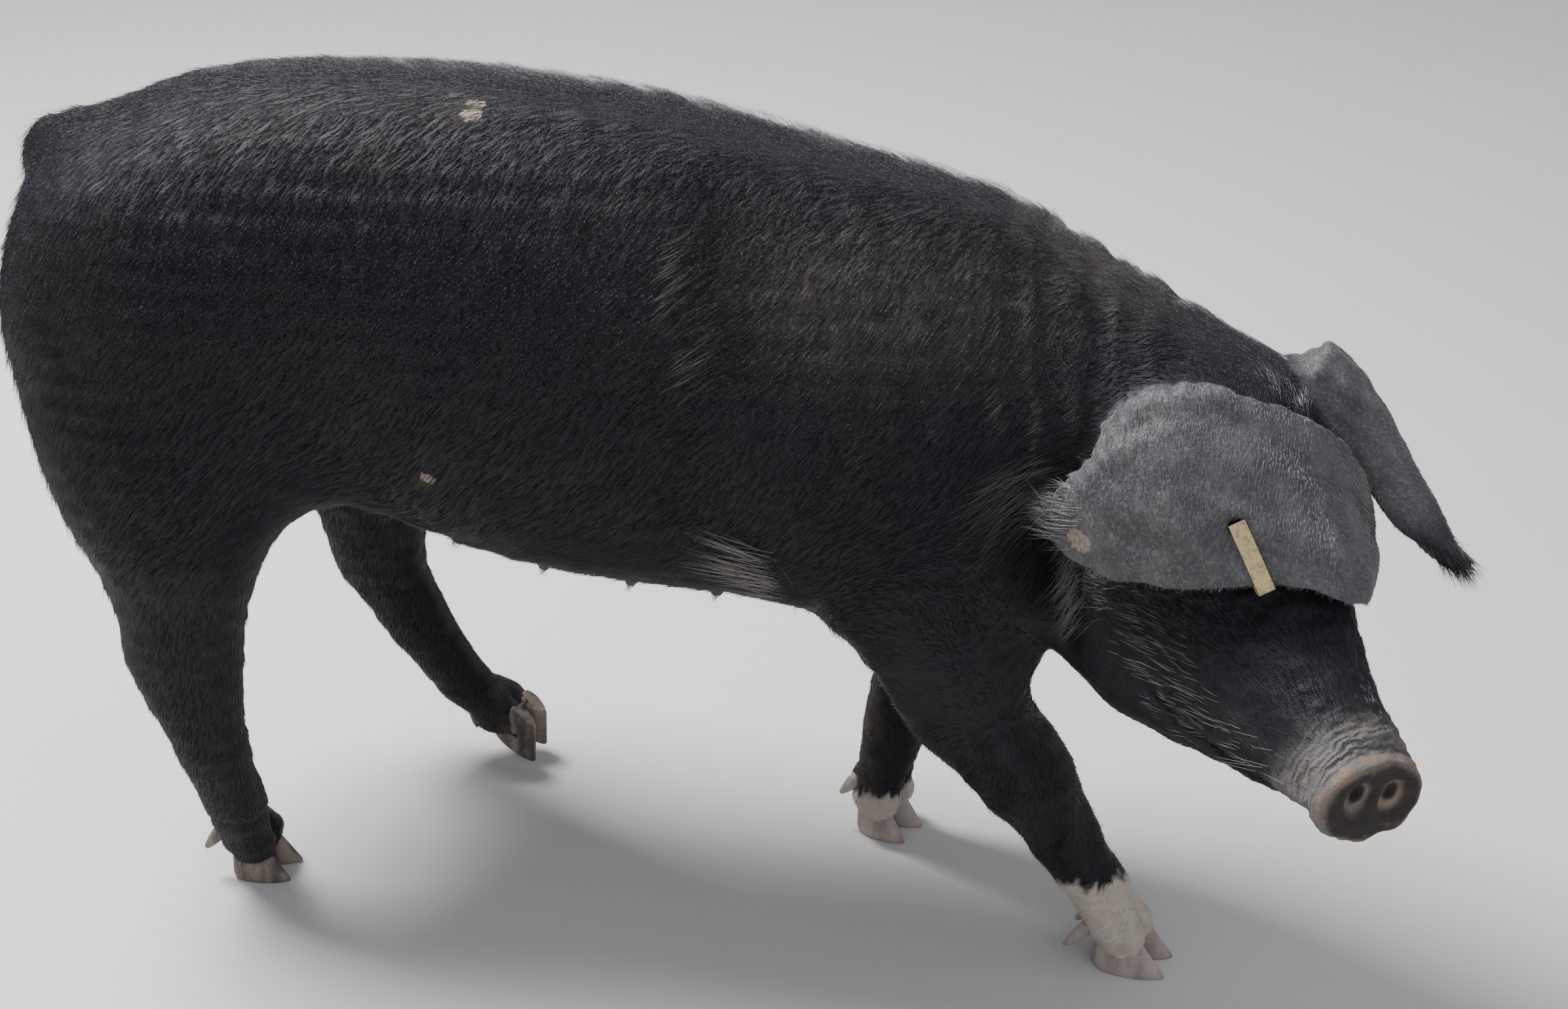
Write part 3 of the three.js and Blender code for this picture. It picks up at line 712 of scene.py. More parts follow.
@dataclass
class Skin:
    """The one skin over all the flesh, with its folds, and the marks that the coat shares."""

    anatomy: Anatomy
    voxel: float = 0.0024
    swell: float = 0.0005
    ear_swell: float = 0.0014
    budget: int = 185_000
    coat_depth: float = 0.0012
    bare_depth: float = 0.2  # the share of that depth on the ears and the tail
    trunk_rounds: float = 300.0
    head_rounds: float = 50.0
    last_rounds: float = 0.6
    teat_x: tuple[float, ...] = (-0.335, -0.285, -0.235, -0.172, -0.108, -0.045, 0.015)
    teat_y: float = 0.040
    teat_long: float = 0.007
    nostril: tuple[float, float, float] = (0.281, 0.013, -0.018)
    disc: tuple[float, float, float] = (0.272, 0.0, -0.025)
    disc_tilt: float = 17.0
    disc_radii: tuple[float, float] = (0.038, 0.032)
    eye: tuple[float, float, float] = (0.105, 0.057, -0.008)
    lip: tuple[tuple[float, float], ...] = (
        (0.262, -0.052),
        (0.235, -0.068),
        (0.200, -0.084),
        (0.165, -0.096),
        (0.140, -0.094),
    )
    muscles: tuple[Hump, ...] = (
        Hump(0.006, (0.055, 0.135, 0.44), (0.06, 0.06, 0.11)),  # the shoulder
        Hump(-0.004, (-0.035, 0.14, 0.42), (0.035, 0.06, 0.12)),  # the hollow behind it
        Hump(-0.004, (-0.29, 0.14, 0.43), (0.05, 0.06, 0.10)),  # the flank before the thigh
        Hump(0.004, (-0.41, 0.12, 0.46), (0.07, 0.06, 0.10)),  # the thigh
        Hump(-0.006, (0.035, 0.13, 0.285), (0.012, 0.04, 0.05)),  # the crease at the elbow
        Hump(0.004, (-0.475, 0.11, 0.205), (0.025, 0.04, 0.022)),  # the hock
        Hump(0.003, (0.19, 0.085, 0.165), (0.03, 0.04, 0.025)),  # the knee
    )
    ear_folds: tuple[Hump, ...] = (
        Hump(0.0035, (0.022, -0.080, 0.040), (0.022, 0.022, 0.024)),  # the roll at the root
        Hump(-0.0025, (0.030, -0.105, 0.000), (0.009, 0.030, 0.012)),  # the dip below it
        Hump(0.0030, (0.048, -0.118, -0.035), (0.020, 0.012, 0.020)),  # the lobe at the rear
    )

    def build(self) -> bpy.types.Object:
        """Make the skin from the CAD nodes of flesh.

        Returns:
            The skin, in place of those nodes.
        """
        rough = self._closed_shell()
        mesh = rough.data
        regions = Regions.of(points_of(mesh), self.anatomy)
        smooth(mesh, self._rounds(regions))
        LOG.info("skin evened out, %d points", len(mesh.vertices))
        bare = np.maximum(regions.ear, regions.tail)
        depth = self.coat_depth * (1 - bare * (1 - self.bare_depth))
        put_points(mesh, points_of(mesh) - normals_of(mesh) * depth[:, None])
        put_points(mesh, self._with_round_disc(points_of(mesh), regions))
        for fold in (self._body_folds, self._head_folds, self._foot_folds):
            points = points_of(mesh)
            put_points(mesh, points + normals_of(mesh) * fold(points, regions)[:, None])
        put_points(mesh, self._with_teats(points_of(mesh)))
        smooth(mesh, np.full(len(mesh.vertices), self.last_rounds))
        thin = rough.modifiers.new("thin", "DECIMATE")
        thin.ratio = min(1.0, self.budget / (2 * len(mesh.polygons)))
        skin = evaluated(rough, "skin")
        skin.data.polygons.foreach_set("use_smooth", [True] * len(skin.data.polygons))
        self._store_marks(skin.data)
        skin.data.materials.append(SkinFinish().material())
        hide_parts(*FLESH)
        return skin

    def on_disc(self, points: Array) -> tuple[Array, Array]:
        """Return how far points lie ahead of the snout's disc and out from its middle.

        Args:
            points: Row points, one in each row.

        Returns:
            Metres ahead of the disc's middle, and shares of its radius.
        """
        p = self.anatomy.head().inside(points)
        tilt = math.radians(self.disc_tilt)
        x, z = p[:, 0] - self.disc[0], p[:, 2] - self.disc[2]
        ahead = x * math.cos(tilt) + z * math.sin(tilt)
        up = z * math.cos(tilt) - x * math.sin(tilt)
        wide, tall = self.disc_radii
        return ahead, np.hypot(p[:, 1] / wide, up / tall)

    def _closed_shell(self) -> bpy.types.Object:
        """Join the nodes of flesh into one closed, evenly meshed shell."""
        points: list[Array] = []
        faces: list[tuple[int, ...]] = []
        start = 0
        for node in FLESH:
            swell = self.ear_swell if node.startswith("ear") else self.swell
            some, around = merged_copy(node, swell)
            points.append(some)
            faces += [tuple(i + start for i in face) for face in around]
            start += len(some)
        shell = new_object("shell", mesh_from("shell", np.vstack(points), faces))
        remesh = shell.modifiers.new("remesh", "REMESH")
        remesh.mode = "VOXEL"
        remesh.voxel_size = self.voxel
        return evaluated(shell, "even_shell")

    def _rounds(self, regions: Regions) -> Array:
        """Say how often points are evened out: most on the trunk and least on thin parts.

        Args:
            regions: The shares of the parts of the body.

        Returns:
            The number of rounds for each point.
        """
        rounds = self.trunk_rounds - (self.trunk_rounds - self.head_rounds) * regions.head
        thin = ((46, regions.leg), (9, regions.foot), (14, regions.snout))
        return blended(rounds, (*thin, (12, regions.tail), (9, regions.ear)))

    def _body_folds(self, points: Array, regions: Regions) -> Array:
        """Work out the muscles and folds of the trunk and limbs.

        Args:
            points: Row points, one in each row.
            regions: The shares of the parts of the body.

        Returns:
            How far each point moves out.
        """
        p = self.anatomy.body().inside(points)
        p = np.column_stack([p[:, 0], np.abs(p[:, 1]), p[:, 2]])
        out = humps(p, self.muscles)
        neck = ramp(p[:, 0], 0.12, 0.19) * (1 - ramp(p[:, 0], 0.25, 0.30)) * (1 - regions.head)
        bend = p[:, 0] + 0.25 * (p[:, 2] - 0.45) + 0.006 * ripple(points, 0.11, 4)
        out += 0.0011 * neck * np.sin(bend * 2 * math.pi / 0.026)
        rear = ramp(-p[:, 0], 0.43, 0.50) * ramp(p[:, 2], 0.54, 0.50)
        out -= 0.012 * rear * np.exp(-((p[:, 1] / 0.013) ** 2)) * ramp(p[:, 2], 0.33, 0.38)
        out += 0.0008 * ripple(points, 0.045, 1) * (1 - regions.foot) * (1 - regions.ear)
        return out * (1 - regions.ear) * (1 - regions.tail)

    def _head_folds(self, points: Array, regions: Regions) -> Array:
        """Work out the wrinkles, lips, lids and nostrils of the head.

        Args:
            points: Row points, one in each row.
            regions: The shares of the parts of the body.

        Returns:
            How far each point moves out.
        """
        p = self.anatomy.head().inside(points)
        on = regions.head * (1 - regions.ear)
        side = np.column_stack([p[:, 0], np.abs(p[:, 1]), p[:, 2]])
        ahead, around = self.on_disc(points)
        front = ramp(ahead, 0.003, 0.0065)
        out = 0.0022 * front * np.exp(-(((around - 0.93) / 0.12) ** 2))
        out -= 0.0018 * front * (1 - ramp(around, 0.35, 0.8))
        hole = bump_at(side, self.nostril, (0.012, 0.0060, 0.0080))
        out -= 0.010 * hole * front
        out += 0.0015 * front * (bump_at(side, self.nostril, (0.012, 0.0115, 0.0125)) - hole)
        behind = ramp(ahead, -0.052, -0.03) * ramp(-ahead, 0.001, 0.006)
        wave = ahead + 0.0028 * ripple(points, 0.035, 2)
        top = 0.45 + 0.55 * ramp(p[:, 2], -0.06, -0.01)
        out += 0.0009 * behind * top * np.sin(wave * 2 * math.pi / 0.0088)
        bridge = ramp(p[:, 0], 0.09, 0.14) * ramp(-p[:, 0], -0.235, -0.20)
        bridge *= ramp(p[:, 2], -0.02, 0.0)
        across = p[:, 0] + 0.004 * ripple(points, 0.05, 3)
        out += 0.0005 * bridge * np.sin(across * 2 * math.pi / 0.017)
        line = np.interp(p[:, 0], [s[0] for s in self.lip[::-1]], [s[1] for s in self.lip[::-1]])
        along = ramp(p[:, 0], 0.136, 0.15) * ramp(-p[:, 0], -0.268, -0.258)
        gap = p[:, 2] - line
        out -= 0.0042 * along * np.exp(-((gap / 0.0026) ** 2))
        out += 0.0022 * along * np.exp(-(((gap - 0.008) / 0.006) ** 2))
        out += 0.0016 * along * np.exp(-(((gap + 0.007) / 0.005) ** 2))
        from_eye = side - np.array(self.eye)
        flat = np.hypot(from_eye[:, 0], from_eye[:, 2] * 1.35)
        near = ramp(-np.abs(from_eye[:, 1]), -0.03, -0.02)
        out += 0.0062 * near * np.exp(-(((flat - 0.0135) / 0.0042) ** 2))
        out += 0.0012 * near * np.exp(-(((flat - 0.024) / 0.003) ** 2))
        out += 0.0005 * ripple(points, 0.012, 6) * (1 - front)
        return out * on + self._ear_folds(points, regions)

    def _ear_folds(self, points: Array, regions: Regions) -> Array:
        """Work out the folds at the roots of the ears and the soft waves further out.

        Args:
            points: Row points, one in each row.
            regions: The shares of the parts of the body.

        Returns:
            How far each point moves out.
        """
        p = self.anatomy.head().inside(points)
        root = ramp(-p[:, 0], -0.085, -0.03)
        out = 0.0018 * root * ripple(points, 0.030, 7) + 0.0012 * ripple(points, 0.07, 9)
        return (out + humps(p, self.ear_folds)) * regions.ear

    def _foot_folds(self, points: Array, regions: Regions) -> Array:
        """Work out the cleft between the toes, the pastern's crease and the coronet's swelling.

        Args:
            points: Row points, one in each row.
            regions: The shares of the parts of the body.

        Returns:
            How far each point moves out.
        """
        out = np.zeros(len(points))
        for name in LIMBS:
            p = Foot(name).axes().inside(points)
            near = ramp(-np.hypot(p[:, 0], p[:, 1]), -0.075, -0.06) * ramp(-p[:, 2], -0.11, -0.09)
            low = ramp(-p[:, 2], -0.062, -0.048)
            ahead = ramp(p[:, 0], -0.012, -0.002)
            out -= 0.006 * near * low * ahead * np.exp(-((p[:, 1] / 0.0035) ** 2))
            out -= 0.002 * near * np.exp(-(((p[:, 2] - 0.062) / 0.003) ** 2))
            out += 0.0018 * near * np.exp(-(((p[:, 2] - 0.033) / 0.004) ** 2))
        return out * regions.foot

    def _with_round_disc(self, points: Array, regions: Regions) -> Array:
        """Bring the edge of the snout's disc to a smooth oval.

        Args:
            points: Row points, one in each row.
            regions: The shares of the parts of the body.

        Returns:
            The moved points.
        """
        ahead, around = self.on_disc(points)
        axes = self.anatomy.head()
        tilt = math.radians(self.disc_tilt)
        normal = axes.way((math.cos(tilt), 0, math.sin(tilt)))
        middle = axes.outside(np.array([self.disc]))[0]
        away = points - middle
        radial = away - (away @ normal)[:, None] * normal
        share = ramp(ahead, -0.013, -0.003) * ramp(around, 0.70, 0.92) * regions.snout
        rounding = 1.02 - 0.10 * ramp(ahead, 0.002, 0.009)
        stretch = share * (rounding / np.maximum(around, 0.1) - 1)
        return points + radial * stretch[:, None]

    def _with_teats(self, points: Array) -> Array:
        """Draw the belly's skin out into two rows of teats.

        Args:
            points: Row points, one in each row.

        Returns:
            The moved points.
        """
        body = self.anatomy.body()
        p = body.inside(points)
        under = p[:, 2] < 0.33
        for x in self.teat_x:
            for y in (-self.teat_y, self.teat_y):
                away = np.hypot(p[:, 0] - x, p[:, 1] - y)
                wide = 0.011 * bump_at(p[:, :2], (x, y), 0.010)
                stalk = self.teat_long * np.clip(1 - (away / 0.0060) ** 4, 0, 1)
                lift = np.where(under, 0.25 * wide + stalk, 0)
                points = points - lift[:, None] * np.array([0.25, 0.0, 0.97])
        return points

    def _store_marks(self, mesh: bpy.types.Mesh) -> None:
        """Store the coat's plan, the flat map and the markings on the mesh.

        Args:
            mesh: The skin's mesh.
        """
        points, normals = points_of(mesh), normals_of(mesh)
        regions = Regions.of(points, self.anatomy)
        marks = Markings(self, points, regions)
        coat = CoatPlan(self.anatomy, points, normals, regions)
        chart = RootChart(self.anatomy).places(points, normals, regions)
        for name, values in (coat.all() | {"root_place": chart} | marks.all()).items():
            put_attribute(mesh, name, values)


@dataclass
class Markings:
    """The marks on skin and coat: socks, grey ears, bare snout, teats, dust and mud, and where
    painted glints and painted shade go.
    """

    skin: Skin
    points: Array
    regions: Regions
    sock_tops: tuple[tuple[str, float], ...] = (("fore_right", 0.080), ("fore_left", 0.040))
    dust: tuple[Hump, ...] = (
        Hump(0.7, (0.040, 0.06, 0.12), (0.014, 0.04, 0.09)),  # behind the left fore leg
        Hump(0.22, (0.06, -0.11, 0.53), (0.09, 0.08, 0.04)),  # on the right shoulder
        Hump(0.25, (0.21, -0.02, 0.535), (0.07, 0.06, 0.03)),  # on the neck
        Hump(0.3, (-0.25, 0.11, 0.04), (0.04, 0.05, 0.02)),  # on the lifted foot
    )
    mud: tuple[Hump, ...] = (
        Hump(0.8, (-0.207, -0.049, 0.614), (0.007, 0.008, 0.012)),  # two spots on the loin
        Hump(0.6, (-0.207, -0.036, 0.617), (0.008, 0.004, 0.012)),
        Hump(0.9, (-0.225, -0.128, 0.378), (0.0045, 0.02, 0.004)),  # low on the flank
        Hump(0.7, (0.218, -0.165, 0.401), (0.009, 0.02, 0.008)),  # on the right ear's lobe
    )

    def all(self) -> dict[str, Array]:
        """Return every mark by name, from 0 to 1."""
        body = self.skin.anatomy.body().inside(self.points)
        ragged = 0.004 * ripple(self.points, 0.02, 11) + 0.002 * ripple(self.points, 0.007, 12)
        white = np.zeros(len(self.points))
        for name, top in self.sock_tops:
            foot = Foot(name).axes().inside(self.points)
            near = ramp(-np.hypot(foot[:, 0], foot[:, 1]), -0.11, -0.09)
            below = ramp(-foot[:, 2] - ragged, -top - 0.003, -top + 0.003)
            white = np.maximum(white, near * below)
        ahead, around = self.skin.on_disc(self.points)
        front = ramp(ahead, 0.003, 0.0065) * self.regions.snout
        side = self.skin.anatomy.head().inside(self.points)
        side[:, 1] = np.abs(side[:, 1])
        tip = ramp(side[:, 0], 0.085, 0.13) * (body[:, 1] > -0.125)
        return {
            "white": white,
            "dust": np.clip(humps(body, self.dust), 0, 1),
            "mud": np.clip(humps(body, self.mud), 0, 1),
            "bare": np.clip(self.regions.snout + self._teats(body), 0, 1),
            "ear": self.regions.ear * (1 - 0.85 * tip),
            "disc": front * (1 - ramp(around, 0.86, 0.98)),
            "rim": ramp(ahead, -0.004, 0.002) * self.regions.snout,
            # where the nostrils get their painted shade
            "hole": bump_at(side, self.skin.nostril, (0.016, 0.0075, 0.0095)) * self.regions.snout,
            # the upper body, where some bristles get a painted glint
            "glint": ramp(body[:, 2], 0.34, 0.56) * (1 - self.regions.ear),
            "ring": ahead,
            "folds": ramp(ahead, -0.040, -0.022) * ramp(-ahead, 0.000, 0.006) * self.regions.head,
            "root": self.regions.ear * ramp(-side[:, 0], -0.095, -0.03),
        }

    def _teats(self, body: Array) -> Array:
        """Return where the teats are."""
        found = np.zeros(len(body))
        for x in self.skin.teat_x:
            away = np.hypot(body[:, 0] - x, np.abs(body[:, 1]) - self.skin.teat_y)
            found = np.maximum(found, ramp(-away, -0.012, -0.006))
        return found * ramp(-body[:, 2], -0.33, -0.30) * 0.7


@dataclass
class CoatPlan:
    """Where the bristles lie, how long they are and how close they stand."""

    anatomy: Anatomy
    points: Array
    normals: Array
    regions: Regions
    body: Array = field(init=False)
    head: Array = field(init=False)

    def __post_init__(self) -> None:
        """Work out the places in the body's and the head's own axes."""
        self.body = self.anatomy.body().inside(self.points)
        self.head = self.anatomy.head().inside(self.points)

    def all(self) -> dict[str, Array]:
        """Return every part of the plan by the name that it is stored under."""
        return {
            "lay": self.lay(),
            "hair_long": self.length(),
            "hair_dense": self.density(),
            "hair_lift": self.lift(),
            "zone": self.zone(),
        }

    def lay(self) -> Array:
        """Return the way the bristles lie, along the skin, with length 1."""
        height = self.body[:, 2]
        aside = np.clip(self.body[:, 1] / 0.07, -1, 1)
        drop = 1.25 * np.abs(aside) * ramp(height, 0.24, 0.34)
        way = np.column_stack([-np.ones(len(drop)), 0.75 * aside, -drop])
        whorl = bump_at(self.body, (-0.03, -0.125, 0.50), (0.06, 0.08, 0.05))
        way[:, 0] -= 0.5 * whorl
        way[:, 2] += 0.3 * whorl
        down = np.array([-0.25, 0.0, -1.0])
        way += (down - way) * ramp(-height, -0.33, -0.25)[:, None] * 0.999
        back = -self.anatomy.head().way((1, 0, 0.12))
        neck = ramp(self.body[:, 0], 0.13, 0.27)
        way += (0.5 * back + 0.5 * way - way) * neck[:, None]
        way += (back - way) * self.regions.head[:, None]
        out = self.anatomy.head().way((0.75, 0.0, -0.5))
        spread = self.anatomy.head().way((0.0, 1.0, 0.0))
        ear = out + np.sign(self.head[:, 1])[:, None] * 0.45 * spread
        way += (ear - way) * self.regions.ear[:, None]
        way += (np.array([0, 0.2, -1.0]) - way) * self.regions.tail[:, None]
        swirl = np.column_stack([ripple(self.points, 0.09, 20 + k) for k in range(3)])
        way = unit(way) + 0.11 * swirl
        way -= np.sum(way * self.normals, axis=1, keepdims=True) * self.normals
        return unit(way)

    def length(self) -> Array:
        """Return the bristles' length in metres."""
        top = ramp(self.body[:, 2], 0.50, 0.58)
        long = 0.013 + 0.002 * top
        long += 0.004 * ramp(self.body[:, 0], 0.12, 0.22) * top
        long += 0.008 * self.fringe()
        long += 0.005 * ramp(-self.body[:, 0], 0.46, 0.50)
        on = self.regions
        limbs = ((0.0085, on.leg), (0.0065, on.head), (0.005, on.foot))
        return blended(long, (*limbs, (0.0035, on.ear), (0.002, on.snout), (0.018, on.tail)))

    def fringe(self) -> Array:
        """Return where the longer hair of the shoulder ends in a ragged fringe."""
        edge = -0.052 + 0.33 * (0.56 - self.body[:, 2]) + 0.006 * ripple(self.points, 0.03, 15)
        behind = self.body[:, 0] - edge
        band = ramp(behind, -0.004, 0.004) * (1 - ramp(behind, 0.012, 0.05))
        return band * ramp(self.body[:, 2], 0.47, 0.50) * ramp(-self.body[:, 2], -0.60, -0.575)

    def density(self) -> Array:
        """Return the bristles for each square metre."""
        on = self.regions
        limbs = ((190_000, on.leg), (220_000, on.head), (200_000, on.foot))
        many = np.full(len(self.points), 150_000.0)
        many = blended(many, (*limbs, (200_000, on.ear), (8_000, on.snout)))
        return many * (1 - 0.55 * ramp(-self.body[:, 2], -0.31, -0.27) * (1 - on.leg))

    def lift(self) -> Array:
        """Return how steeply the bristles stand, as the rise for each length."""
        return 0.10 + 0.10 * self.fringe() + 0.15 * self.regions.ear

    def zone(self) -> Array:
        """Return the number of the coat's piece at each point, as Coat.names counts them."""
        along = self.body[:, 0]
        number = np.digitize(along, (-0.30, -0.08, 0.12)).astype(float)
        number = np.where(self.regions.leg > 0.5, np.where(along < -0.15, 4.0, 5.0), number)
        return np.where((self.regions.head > 0.5) | (self.regions.ear > 0.5), 6.0, number)


class Ground(Enum):
    """What a tuft grows on."""

    ANY = "any"
    EAR = "ear"
    OFF_EAR = "off the ears"


@dataclass(frozen=True)
class Tuft:
    """A patch of longer hair, in the body's or the head's own axes."""

    on_head: bool
    at: tuple[float, float, float]
    radii: tuple[float, float, float]
    way: tuple[float, float, float]
    long: float
    dense: float
    lift: float
    pale: float
    ground: Ground = Ground.ANY


def tuft_pair(tuft: Tuft, dense: float) -> tuple[Tuft, Tuft]:
    """Repeat a tuft on the other side.

    Args:
        tuft: The tuft.
        dense: The density of its mirror image.

    Returns:
        The tuft and its mirror image.
    """
    (x, y, z), (ahead, aside, up) = tuft.at, tuft.way
    return tuft, replace(tuft, at=(x, -y, z), way=(ahead, -aside, up), dense=dense)


@dataclass
class LongHair:
    """The plan of every tuft, stored on a copy of the skin in place of the short coat's."""

    anatomy: Anatomy
    tufts: tuple[Tuft, ...] = (
        # the pale tuft behind each elbow
        *tuft_pair(
            Tuft(False, (0.008, -0.125, 0.325), (0.012, 0.05, 0.030), (-1, 0, 0.22),
                 0.052, 130e3, 0.14, 0.8),
            80e3,
        ),
        # the ragged end of the shoulder's longer hair
        Tuft(False, (-0.045, -0.11, 0.545), (0.012, 0.04, 0.030), (-1, 0, -0.9),
             0.024, 80e3, 0.12, 0.45),
        Tuft(False, (-0.030, -0.13, 0.495), (0.012, 0.04, 0.026), (-1, 0, -0.7),
             0.026, 90e3, 0.12, 0.45),
        # the fringe of the neck behind the right ear
        Tuft(False, (0.185, -0.135, 0.385), (0.030, 0.05, 0.045), (-0.9, -0.4, -0.2),
             0.044, 170e3, 0.5, 0.22, Ground.OFF_EAR),
        Tuft(False, (0.200, -0.14, 0.350), (0.030, 0.05, 0.030), (-0.9, -0.3, -0.4),
             0.040, 140e3, 0.4, 0.16, Ground.OFF_EAR),
        # the cheek below the ear, whose pale hair is a painted highlight, the ear's rear lobe and
        # the left ear's tip
        Tuft(True, (0.095, -0.075, -0.055), (0.05, 0.03, 0.022), (-1, -0.2, -0.7),
             0.010, 40e3, 0.2, 0.55),
        Tuft(True, (0.045, -0.125, -0.040), (0.020, 0.014, 0.030), (-0.3, -1, -0.3),
             0.024, 160e3, 0.3, 0.08, Ground.EAR),
        Tuft(True, (0.135, 0.118, 0.020), (0.022, 0.02, 0.022), (1, 0.1, -0.2),
             0.018, 350e3, 0.25, 0.0, Ground.EAR),
        # the few long hairs on each side of the lips, and the right jaw
        *tuft_pair(
            Tuft(True, (0.215, -0.05, -0.055), (0.028, 0.03, 0.02), (-0.8, -0.6, -0.4),
                 0.026, 14e3, 0.55, 0.8),
            14e3,
        ),
        Tuft(True, (0.155, -0.06, -0.075), (0.05, 0.04, 0.03), (-1, -0.3, -0.3),
             0.014, 30e3, 0.35, 0.7),
        # the tail's tip
        Tuft(False, (-0.548, 0.07, 0.375), (0.02, 0.02, 0.02), (0, 0.1, -1),
             0.040, 900e3, 0.15, 0.1),
    )

    def store(self, mesh: bpy.types.Mesh) -> None:
        """Put the plan of the tufts on a mesh that carries the short coat's.

        Args:
            mesh: The mesh, a copy of the skin's.
        """
        points, normals = points_of(mesh), normals_of(mesh)
        ear = Regions.of(points, self.anatomy).ear
        frames = {False: self.anatomy.body(), True: self.anatomy.head()}
        grounds = {Ground.ANY: 1.0, Ground.EAR: ear, Ground.OFF_EAR: 1 - ear}
        dense = np.zeros(len(points))
        long, lift, pale, lay = dense.copy(), dense.copy(), dense.copy(), np.zeros((len(points), 3))
        for tuft in self.tufts:
            axes = frames[tuft.on_head]
            share = bump_at(axes.inside(points), tuft.at, tuft.radii)
            share = share * grounds[tuft.ground]
            share = np.where(share > 0.2, share, 0.0)
            dense += tuft.dense * share
            best = share > 0
            long[best] = tuft.long * (0.55 + 0.45 * share[best])
            lift[best], pale[best] = tuft.lift, tuft.pale
            lay[best] = axes.way(tuft.way)
        swirl = np.column_stack([ripple(points, 0.03, 30 + k) for k in range(3)])
        lay = unit(lay + 0.12 * swirl)
        lay = unit(lay - np.sum(lay * normals, axis=1, keepdims=True) * normals)
        plan = {"lay": lay, "hair_long": long, "hair_dense": dense, "hair_lift": lift}
        plan |= {"zone": np.zeros(len(points)), "pale": pale}
        for name, values in plan.items():
            if name in mesh.attributes:
                mesh.attributes.remove(mesh.attributes[name])
            put_attribute(mesh, name, values)


@dataclass(frozen=True)
class Chart:
    """A rectangle of the flat map: its low corner and its size."""

    low: tuple[float, float]
    size: tuple[float, float]

    def put(self, across: Array, along: Array) -> Array:
        """Return map places for shares from 0 to 1 across and along the rectangle."""
        shares = np.column_stack([np.clip(across, 0, 1), np.clip(along, 0, 1)])
        return np.array(self.low) + shares * np.array(self.size)


@dataclass(frozen=True)
class RootChart:
    """The flat map of the skin, on which each bristle finds its root."""

    anatomy: Anatomy
    trunk: Chart = Chart((0.01, 0.01), (0.60, 0.98))
    head: Chart = Chart((0.63, 0.62), (0.36, 0.37))
    ears: tuple[Chart, ...] = tuple(Chart((x, 0.41), (0.17, 0.19)) for x in (0.63, 0.82))
    legs: tuple[Chart, ...] = tuple(Chart((0.63 + 0.09 * k, 0.01), (0.08, 0.38)) for k in range(4))
    trunk_axis: float = 0.44  # the height of the line that the trunk is unrolled round
    head_axis: float = -0.04
    leg_top: float = 0.25
    beside_leg: float = 0.02

    def places(self, points: Array, normals: Array, regions: Regions) -> Array:
        """Return the place on the flat map of each point.

        Args:
            points: Row points.
            normals: The skin's normals there.
            regions: The shares of the parts of the body.

        Returns:
            Two numbers for each point.
        """
        body = self.anatomy.body().inside(points)
        head = self.anatomy.head().inside(points)
        turn = self._turn(body[:, 1], body[:, 2] - self.trunk_axis)
        flat = self.trunk.put(turn, (body[:, 0] + 0.58) / 0.95)
        turn = self._turn(head[:, 1], head[:, 2] - self.head_axis)
        on_head = self.head.put(turn, (head[:, 0] + 0.03) / 0.32)
        flat = np.where(regions.head[:, None] > 0.5, on_head, flat)
        plan, height = points[:, :2], points[:, 2]
        for chart, limb in zip(self.legs, LIMBS):
            low, high = box_of(f"{limb}_leg", f"{limb}_foot")
            past_low = np.all(plan > low[:2] - self.beside_leg, axis=1)
            inside = past_low & np.all(plan < high[:2] + self.beside_leg, axis=1)
            inside &= (height < self.leg_top) & (regions.head < 0.5)
            away = plan - self._leg_middle(limb, height)
            on_leg = chart.put(self._turn(away[:, 0], away[:, 1]), height / 0.26)
            flat = np.where(inside[:, None], on_leg, flat)
        outer = normals @ self.anatomy.head().way((0.2, 0.0, 1.0)) > 0
        across = (head[:, 1] + 0.14) / 0.29
        along = (head[:, 0] + 0.03) / 0.20
        for chart, side in zip(self.ears, (outer, ~outer)):
            on_ear = chart.put(across, along)
            flat = np.where((regions.ear[:, None] > 0.5) & side[:, None], on_ear, flat)
        return flat

    @staticmethod
    def _turn(aside: Array, up: Array) -> Array:
        """Return the share of a full turn round an axis, from 0 to 1."""
        return np.arctan2(aside, up) / (2 * math.pi) + 0.5

    @staticmethod
    def _leg_middle(limb: str, height: Array) -> Array:
        """Work out where the middle of a leg is.

        Args:
            limb: The name of the limb.
            height: Heights above the floor.

        Returns:
            The middle at each height, in the row's XY.
        """
        stations = []
        for node in (f"{limb}_foot", f"{limb}_leg"):
            low, high = box_of(node)
            stations.append((low + high) / 2)
        x, y, z = np.array(stations).T
        return np.column_stack([np.interp(height, z, x), np.interp(height, z, y)])


# ---------------------------------------------------------------- the coat


class Bristle(Enum):
    """The kinds of bristle."""

    COAT = "coat"
    LONG = "long"


@dataclass(frozen=True)
class BristleSizes:
    """The sizes of one kind of bristle."""

    radius: float
    spread: float  # how far each one turns from the lie of the coat
    uneven: float  # the share by which lengths differ
    seed: int


